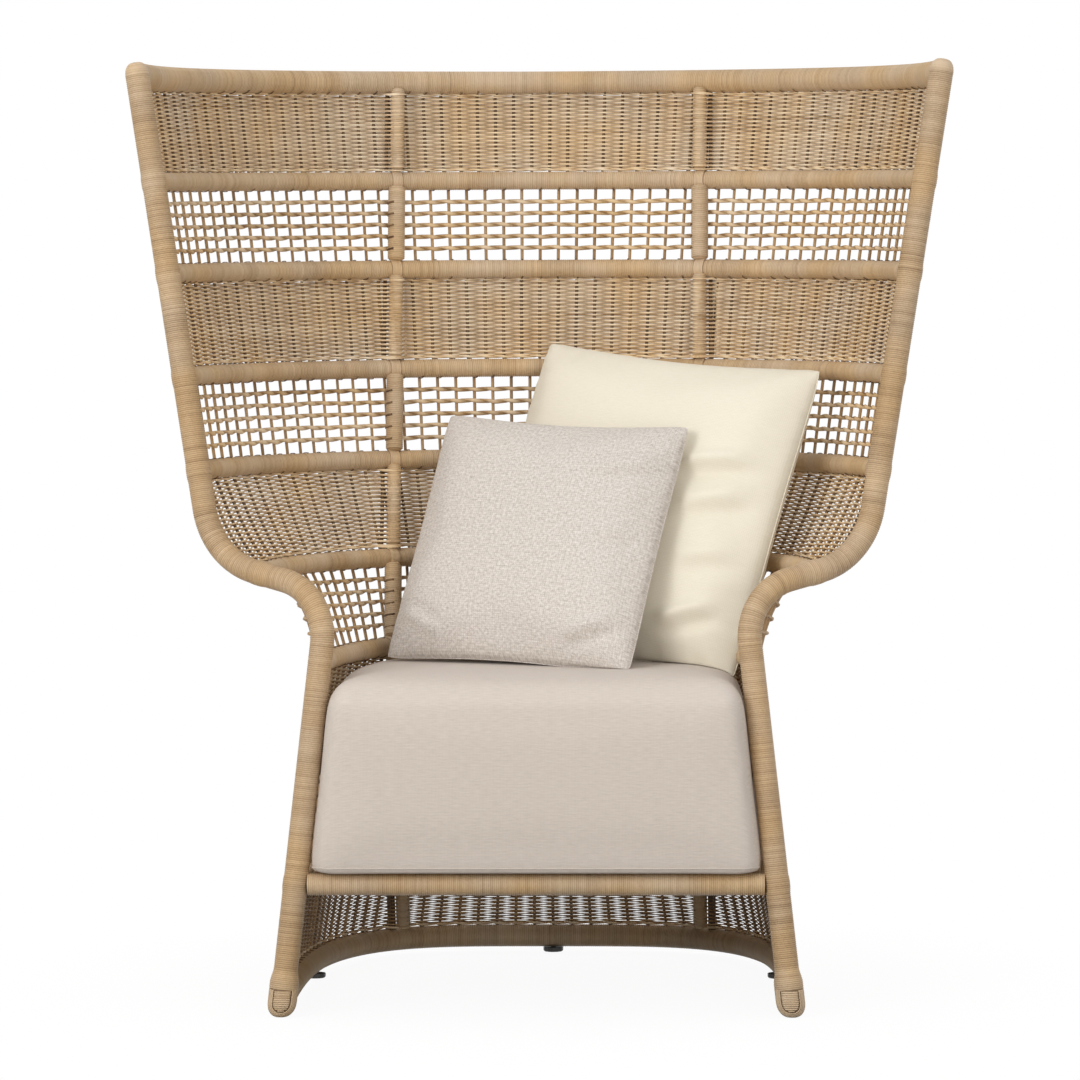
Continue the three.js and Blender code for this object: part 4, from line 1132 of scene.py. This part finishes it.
def cloth_object(name, points, faces):
    mesh = bpy.data.meshes.new(name)
    mesh.from_pydata([tuple(p) for p in points], [], [tuple(f) for f in faces])
    mesh.update()
    made = bpy.data.objects.new(name, mesh)
    scene.collection.objects.link(made)
    return made


def remeshed(made, voxel):
    """Even quads all over, which cloth needs."""
    remesh = made.modifiers.new("voxels", "REMESH")
    remesh.mode = "VOXEL"
    remesh.voxel_size = voxel
    ease = made.modifiers.new("ease", "SMOOTH")
    ease.factor = 0.5
    ease.iterations = 6
    baked = bpy.data.meshes.new_from_object(made.evaluated_get(bpy.context.evaluated_depsgraph_get()))
    made.modifiers.clear()
    made.data = baked


def eased(mesh, values, times):
    """Averages values over neighbouring points, a few times."""
    ends = edge_ends(mesh)
    a, b = ends.T
    degree = np.bincount(ends.ravel(), minlength=len(values))[:, None]
    for _ in range(times):
        total = np.zeros_like(values)
        np.add.at(total, a, values[b])
        np.add.at(total, b, values[a])
        values = 0.5 * values + 0.5 * total / np.maximum(degree, 1)
    return values


def swell(made, pressure, cap, stiff):
    """Swells a closed mesh as cloth, and keeps each point within cap of where it started."""
    before = positions(made.data)
    cloth = made.modifiers.new("cloth", "CLOTH")
    cloth.settings.quality = 6
    cloth.settings.mass = 0.25
    cloth.settings.tension_stiffness = stiff
    cloth.settings.compression_stiffness = stiff
    cloth.settings.bending_stiffness = 0.4
    cloth.settings.use_pressure = True
    cloth.settings.uniform_pressure_force = pressure
    cloth.settings.effector_weights.gravity = 0.0
    cloth.collision_settings.use_collision = False
    cloth.point_cache.frame_start = 1
    cloth.point_cache.frame_end = FRAMES
    for number in range(1, FRAMES + 1):
        scene.frame_set(number)
    after = positions(made.evaluated_get(bpy.context.evaluated_depsgraph_get()).to_mesh())
    made.modifiers.clear()
    scene.frame_set(1)
    move = after - before
    far = np.linalg.norm(move, axis=1, keepdims=True)
    move = eased(made.data, move * np.minimum(1, cap / np.maximum(far, 1e-9)), 12)
    set_positions(made.data, before + move)
    print(made.name, "moved at most", round(float(far.max()) * 1000, 1), "mm, held to", cap * 1000, "mm")


def dressed(made, flat, material, body, nodes):
    """The last steps for a cushion: its cloth, one subdivision and what it stands for."""
    mesh = made.data
    note(mesh, "flat", "FLOAT_VECTOR", "vector", flat)
    mesh.polygons.foreach_set("use_smooth", np.ones(len(mesh.polygons), bool))
    mesh.materials.clear()
    mesh.materials.append(material)
    soft = made.modifiers.new("round", "SUBSURF")
    soft.levels = 1
    soft.render_levels = 1
    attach(made, body)
    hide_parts(*nodes)


def seam_strand(name, line, facing, material, body, slot):
    made = piece(name, *strands(line[None], facing, SEAM_HALF, SEAM_HALF, 0.5), material, body, [], slot)
    run = np.repeat(runs(line), 6)
    note(made.data, "flat", "FLOAT_VECTOR", "vector", np.stack([run, run * 0.4, run * 0], 1))


# %% [markdown]
# ## Fabrics
# The seat is a flat woven outdoor acrylic, pale greige, with a fine crosswise grain. The small
# pillow is a bouclé of looped yarn; its colour follows the loops' height, so the tips carry a
# painted highlight and the hollows painted shade. The large one is a soft cream plain weave.
# Each piece carries the flat coordinates of its own cloth, so threads run straight on it. The
# threads of the flat weaves are drawn about two millimetres apart so that they show at this
# distance; the real ones are about half of that.

# %% Fabric materials
# A wave texture of scale 1 has this many bands a metre.
WAVE_BANDS = 3.18
SLUB_LONG, SLUB_WIDE, KNOT = 0.016, 0.0022, 0.0042


def fabric(name, ramp, thread, weave, slub, loops, depth):
    # Spun yarn: no gloss, a soft pale edge where fibres catch the light.
    material, tree, shader = finish_named(name)
    flat = add(tree, "ShaderNodeAttribute", attribute_name="flat").outputs["Vector"]
    ripple = {"Vector": flat, "Scale": 1 / thread / WAVE_BANDS,
              "Distortion": 1.5, "Detail": 1.0, "Detail Scale": 2.0}
    warp = add(tree, "ShaderNodeTexWave", ripple, bands_direction="X")
    weft = add(tree, "ShaderNodeTexWave", ripple, bands_direction="Y")
    drawn = add(tree, "ShaderNodeMapping", {"Vector": flat, "Scale": (1 / SLUB_LONG, 1 / SLUB_WIDE, 1.0)})
    slubs = add(tree, "ShaderNodeTexNoise",
                {"Vector": drawn.outputs[0], "Scale": 1.0, "Detail": 3.0, "Roughness": 0.65})
    knots = add(tree, "ShaderNodeTexNoise",
                {"Vector": flat, "Scale": 1 / KNOT, "Detail": 3.0, "Roughness": 0.7})
    cross = add(tree, "ShaderNodeMath", {0: warp.outputs["Fac"], 1: weft.outputs["Fac"]},
                operation="MULTIPLY")
    total = add(tree, "ShaderNodeMath", {0: cross.outputs[0], 1: weave, 2: 0.5 - weave / 4},
                operation="MULTIPLY_ADD")
    for noise, amount in ((slubs, slub), (knots, loops)):
        part = add(tree, "ShaderNodeMath", {0: noise.outputs["Fac"], 1: amount, 2: -amount / 2},
                   operation="MULTIPLY_ADD")
        total = add(tree, "ShaderNodeMath", {0: total.outputs[0], 1: part.outputs[0]}, operation="ADD")
    colour = add(tree, "ShaderNodeValToRGB", {"Fac": total.outputs[0]}, ramp=ramp)
    bump = add(tree, "ShaderNodeBump", {"Height": total.outputs[0], "Strength": 0.5, "Distance": depth})
    feed(tree, shader, {"Base Color": colour.outputs["Color"], "Normal": bump.outputs[0],
                        "Roughness": 0.93, "Specular IOR Level": 0.15,
                        "Sheen Weight": 0.12, "Sheen Roughness": 0.5})
    return material


seat_cloth = fabric("woven outdoor acrylic", [(0.2, "#bdb2a7"), (0.5, "#cabfb5"), (0.8, "#d4cac0")],
                    thread=0.0021, weave=0.25, slub=0.8, loops=0.0, depth=0.0005)
# The bouclé's lighter tips and darker hollows, which follow the loops' height, are painted highlight and
# painted shade.
boucle = fabric("boucle yarn", [(0.15, "#9a8f85"), (0.5, "#cec6be"), (0.85, "#efeae6")],
                thread=0.0034, weave=0.15, slub=0.25, loops=0.9, depth=0.0015)
cream_cloth = fabric("cream cotton weave", [(0.2, "#dad2bd"), (0.5, "#e6dfcd"), (0.8, "#efe9d9")],
                     thread=0.0024, weave=0.25, slub=0.3, loops=0.15, depth=0.0006)
# Sewing thread: spun polyester in the cloth's own tone.
thread_greige = fabric("polyester thread greige", [(0.2, "#b5a99d"), (0.5, "#cfc4b9"), (0.8, "#d8cec4")],
                       thread=0.0012, weave=0.3, slub=0.2, loops=0.0, depth=0.0003)
print("fabrics made")

# %% [markdown]
# ## Seat cushion
# The cushion is a thick box that narrows with the legs and follows the round back of the
# seat. Its edges roll over softly, its top is crowned, and a seam runs round it just above
# the rail. It is drawn as level outlines stacked up, then swelled as cloth.

# %% Cushion outlines
cushion_low, cushion_high = (np.array(c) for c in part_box("seat_cushion_cover"))
BOTTOM, CUSHION_TOP, CROWN = float(cushion_low[2]), 0.487, 0.018
FRONT, BACK = -0.022, min(back_y(SEAT_RING_Z), back_y(CUSHION_TOP)) - 0.046
EDGE_ROLL, CORNER, BEND_Y = 0.012, 0.026, 0.165
ROLL_HEIGHT, LOW_ROLL, LOW_HEIGHT = 2.4 * EDGE_ROLL, 0.005, 0.007
SQUARENESS, SIDE_GAP = 2.8, 0.001
START_SMALL = 0.0015


def cushion_half(z):
    return rim_at(z)[..., 0] - MAIN_R - SIDE_GAP


def cushion_outline(z, shrink):
    """A level outline of the cushion, from the middle of its front all the way round."""
    half, y0, y1 = cushion_half(z) - 0.35 * shrink, FRONT + 1.3 * shrink, BACK - shrink
    x = [np.linspace(0, half - CORNER, 16)[:-1]]
    y = [np.full(15, y0)]
    t = np.linspace(0, math.pi / 2, 14)
    x.append(half - CORNER * (1 - np.sin(t)))
    y.append(y0 + CORNER * (1 - np.cos(t)))
    x.append(np.full(8, half))
    y.append(np.linspace(y0 + CORNER, BEND_Y, 10)[1:-1])
    t = np.linspace(0, math.pi / 2, 48)
    x.append(half * np.maximum(np.cos(t), 0) ** (2 / SQUARENESS))
    y.append(BEND_Y + (y1 - BEND_Y) * np.sin(t) ** (2 / SQUARENESS))
    x, y = np.concatenate(x), np.concatenate(y)
    return np.concatenate([x, -x[-2:0:-1]]), np.concatenate([y, y[-2:0:-1]])


def edge_shrink(z):
    """How far the cushion's edges roll in at a height, below and above."""
    low = np.clip(1 - (z - BOTTOM) / LOW_HEIGHT, 0, 1)
    high = np.clip((z - CUSHION_TOP + ROLL_HEIGHT) / ROLL_HEIGHT, 0, 1)
    return LOW_ROLL * low ** 2 + EDGE_ROLL * high ** 2.8


# %% Seat cushion
CROWN_STEPS, CROWN_RATE = (0.985, 0.96, 0.92, 0.86, 0.78, 0.66, 0.5, 0.3, 0.12), 27
SEAT_VOXEL = 0.009
LIP_DROP, LIP_RUN, LIP_HEIGHT = 0.005, 0.010, 0.03

rings = []
heights = np.concatenate([np.linspace(0.0005, 0.024, 9) + BOTTOM,
                          np.linspace(BOTTOM + 0.05, CUSHION_TOP - 0.05, 7),
                          np.linspace(CUSHION_TOP - ROLL_HEIGHT, CUSHION_TOP - 0.0008, 12)])
for z in heights:
    x, y = cushion_outline(z, edge_shrink(z) + START_SMALL)
    rings.append(np.stack([x, y, np.full_like(x, z)], 1))
middle_y = (FRONT + BACK) / 2
x, y = cushion_outline(CUSHION_TOP, EDGE_ROLL + START_SMALL)
for factor in CROWN_STEPS:
    z = CUSHION_TOP - 0.001 + CROWN * (1 - math.exp(-CROWN_RATE * (1 - factor)))
    rings.append(np.stack([x * factor, middle_y + (y - middle_y) * factor, np.full_like(x, z)], 1))
n = len(rings[0])
faces = [tuple(range(n))[::-1], tuple((len(rings) - 1) * n + k for k in range(n))]
for i in range(len(rings) - 1):
    for j in range(n):
        k = (j + 1) % n
        faces.append((i * n + j, i * n + k, (i + 1) * n + k, (i + 1) * n + j))
seat = cloth_object("seat_cushion", np.vstack(rings) + SHIFT, faces)
remeshed(seat, SEAT_VOXEL)
swell(seat, pressure=1.2, cap=0.003, stiff=20.0)

# The cushion keeps to its CAD height and stays between the rims. Its front lip hangs a little
# lower, in front of the rail.
at = positions(seat.data)
at[:, 2] = np.clip(at[:, 2], BOTTOM + 0.0002, cushion_high[2] + 0.002)
overhang = np.clip((float(rail_low[1]) - 0.005 - at[:, 1]) / LIP_RUN, 0, 1)
at[:, 2] -= LIP_DROP * overhang * np.clip(1 - (at[:, 2] - BOTTOM) / LIP_HEIGHT, 0, 1)
limit = cushion_half(at[:, 2]) + 0.0004
at[:, 0] = np.clip(at[:, 0], -limit, limit)
set_positions(seat.data, at)
normals = np.array([v.normal for v in seat.data.vertices])
flank = np.abs(normals[:, 0]) > 0.75
over_top = np.stack([at[:, 0], at[:, 1] + at[:, 2], at[:, 2] * 0], 1)
flat = np.where(flank[:, None], at[:, [1, 2, 0]], over_top)
dressed(seat, flat, seat_cloth, "seat_cushion", ["seat_cushion_cover", "seat_cushion_foam"])
seat_skin = BVHTree.FromPolygons([tuple(p) for p in at], [tuple(p.vertices) for p in seat.data.polygons])
print("seat cushion:", len(at), "points, top at", round(float(at[:, 2].max()), 4))

# %% Seat seam
SEAM_Z = BOTTOM + 0.0085
x, y = cushion_outline(SEAM_Z, 0.0)
seam_line = np.stack([np.append(x, 0), np.append(y, y[0]), np.full(len(x) + 1, SEAM_Z)], 1)
seam_line = spaced(seam_line + SHIFT, 601)
found = [seat_skin.find_nearest(Vector(p)) for p in seam_line]
seam_line = np.array([np.array(f[0]) + np.array(f[1]) * 0.0002 for f in found])
seam_strand("seat_cushion_seam", seam_line, UP, thread_greige, "seat_cushion", "seat_fabric")
print("seat seam of", round(length_of(seam_line), 2), "m")

# %% [markdown]
# ## Loose pillows
# Both pillows are two squares of cloth sewn together round a soft filling, so they are full in
# the middle, thin at the edges and drawn in between their corners. Each starts as two panels
# that share their seam, swells as cloth, and is then turned to the place where its CAD solid
# leans. Small puckers run in from the seam, where the sewing gathers the cloth, and a few
# folds are laid where the photograph shows them. What would sink into the seat is pressed
# flat on it.

# %% Pillow helpers
PUCKER_REACH, PUCKER_HEIGHT = 0.030, 0.0011
FOLD_DEPTH = 1.8


def panels(side, thick, cells, draw):
    """Two square panels with one shared edge: points, faces, the edge's order and flat places."""
    line = np.sin(np.linspace(-1, 1, cells + 1) * 1.25) / math.sin(1.25)
    u, v = np.meshgrid(line, line, indexing="ij")
    puff = thick / 2 * np.maximum((1 - np.abs(u) ** 3) * (1 - np.abs(v) ** 3), 0) ** 0.5
    blunt = 1 - 0.03 * (u * v) ** 6
    x = side / 2 * u * (1 - 0.4 * draw * (1 - v * v)) * blunt
    z = side / 2 * v * (1 - draw * (1 - u * u)) * blunt
    m = cells + 1
    front = np.arange(m * m).reshape(m, m)
    back = front.copy()
    back[1:-1, 1:-1] = m * m + np.arange((cells - 1) ** 2).reshape(cells - 1, -1)
    inner = np.s_[1:-1, 1:-1]
    points = np.vstack([np.stack([x, -puff, z], -1).reshape(-1, 3),
                        np.stack([x, puff, z], -1)[inner].reshape(-1, 3)])
    flat = np.stack([u, v, u * 0], -1) * side / 2
    flat = np.vstack([flat.reshape(-1, 3), flat[inner].reshape(-1, 3)])
    one = np.stack([front[:-1, :-1], front[1:, :-1], front[1:, 1:], front[:-1, 1:]], -1).reshape(-1, 4)
    two = np.stack([back[:-1, :-1], back[:-1, 1:], back[1:, 1:], back[1:, :-1]], -1).reshape(-1, 4)
    edge = np.concatenate([front[:-1, 0], front[-1, :-1], front[:0:-1, -1], front[0, :0:-1]])
    return points, np.vstack([one, two]), edge, flat


def puckers(at, side):
    """Small gathers that run in from the seam."""
    gap = side / 2 - np.abs(at[:, [0, 2]])
    near = np.exp(-gap.min(1) / PUCKER_REACH)
    lane = np.where(gap[:, 0] < gap[:, 1], at[:, 2], at[:, 0])
    ripple = np.sin(lane * 145 + 1.3 * np.sin(lane * 9)) + 0.7 * np.sin(lane * 290 + 2 * np.sin(lane * 17))
    out = at.copy()
    inside = np.clip(np.abs(at[:, 1]) / 0.02, 0, 1)
    out[:, 1] += np.sign(at[:, 1]) * ripple * near * inside * PUCKER_HEIGHT
    return out


def folded(at, folds):
    """Lays folds on the front panel. Each has two ends, a width and a height in metres, and
    all the heights are raised by one factor."""
    out = at.copy()
    for x0, z0, x1, z1, width, height in folds:
        along = np.array([x1 - x0, z1 - z0])
        long = np.linalg.norm(along)
        along = along / long
        dx, dz = at[:, 0] - x0, at[:, 2] - z0
        t = (dx * along[0] + dz * along[1]) / long
        off = (dz * along[0] - dx * along[1]) / width
        taper = np.exp(-((t - 0.5) / 0.42) ** 4)
        ridge = np.exp(-off ** 2) - 0.8 * np.exp(-(off - 1.7) ** 2)
        out[:, 1] -= np.where(at[:, 1] < 0, 1, 0) * ridge * taper * height * FOLD_DEPTH
    return out


# %% Pillow
SLOTS = {"large_pillow": "cream_fabric", "small_pillow": "boucle_fabric"}
CUT_LARGER, START_THIN, EDGE_DRAW, SEWN_WIDTH = 0.012, 0.90, 0.045, 1.03
NEAR_SEAT_Z, ABOVE_SEAT_Z, SEAT_GAP = 0.53, 0.8, 0.0008
SEAM_CREASE = 0.8


def pillow(name, side, thick, cells, turns, material, folds, cap):
    points, faces, edge, flat = panels(side + CUT_LARGER, thick * START_THIN, cells, EDGE_DRAW)
    made = cloth_object(name, points, faces)
    swell(made, pressure=5.0, cap=cap, stiff=9.0)
    at = positions(made.data)
    at[:, 1] *= min(1.0, thick / 2 / np.abs(at[:, 1]).max())
    for k in (0, 2):
        at[:, k] *= side * SEWN_WIDTH / (at[edge, k].max() - at[edge, k].min())
    at = folded(puckers(at, side), folds)
    low, high = (np.array(c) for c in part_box(f"{name}_cover"))
    turn, lean, roll = (math.radians(a) for a in turns)
    pose = Matrix.Translation((low + high) / 2) @ Matrix.Rotation(turn, 4, "Z")
    pose = np.array(pose @ Matrix.Rotation(-lean, 4, "X") @ Matrix.Rotation(-roll, 4, "Y"))
    at = at @ pose[:3, :3].T + pose[:3, 3]
    for i in np.flatnonzero(at[:, 2] < NEAR_SEAT_Z):
        hit = seat_skin.ray_cast(Vector((at[i, 0], at[i, 1], ABOVE_SEAT_Z)), Vector((0, 0, -1)))[0]
        if hit:
            at[i, 2] = max(at[i, 2], hit.z + SEAT_GAP)
    set_positions(made.data, at)
    sewn = np.isin(edge_ends(made.data), edge).all(1).astype(np.float32)
    crease = made.data.attributes.new("crease_edge", "FLOAT", "EDGE")
    crease.data.foreach_set("value", sewn * SEAM_CREASE)
    dressed(made, flat, material, name, [f"{name}_cover", f"{name}_insert"])
    loop = spaced(at[np.append(edge, edge[0])], 4 * cells * 2 + 1)
    seam_strand(f"{name}_seam", loop, pose[:3, 1], material, name, SLOTS[name])
    print(name, "CAD", np.round(high - low, 3), "made", np.round(at.max(0) - at.min(0), 3))


# %% Both pillows
large_folds = [(0.215, 0.085, 0.085, 0.060, 0.012, 0.0080), (0.222, 0.030, 0.110, -0.005, 0.013, 0.0060),
               (0.215, -0.150, 0.120, -0.190, 0.011, 0.0070), (0.225, -0.060, 0.130, -0.090, 0.014, 0.0045)]
small_folds = [(0.190, 0.130, 0.080, 0.110, 0.013, 0.0042), (0.180, -0.130, 0.100, -0.165, 0.010, 0.0055),
               (-0.180, -0.140, -0.110, -0.172, 0.009, 0.0030), (0.185, 0.020, 0.110, 0.000, 0.012, 0.0022)]
pillow("large_pillow", side=0.490, thick=0.150, cells=68, turns=(-30.6, 22.9, -4.6),
       material=cream_cloth, folds=large_folds, cap=0.014)
pillow("small_pillow", side=0.400, thick=0.120, cells=60, turns=(-23.7, 27.5, -2.2),
       material=boucle, folds=small_folds, cap=0.012)
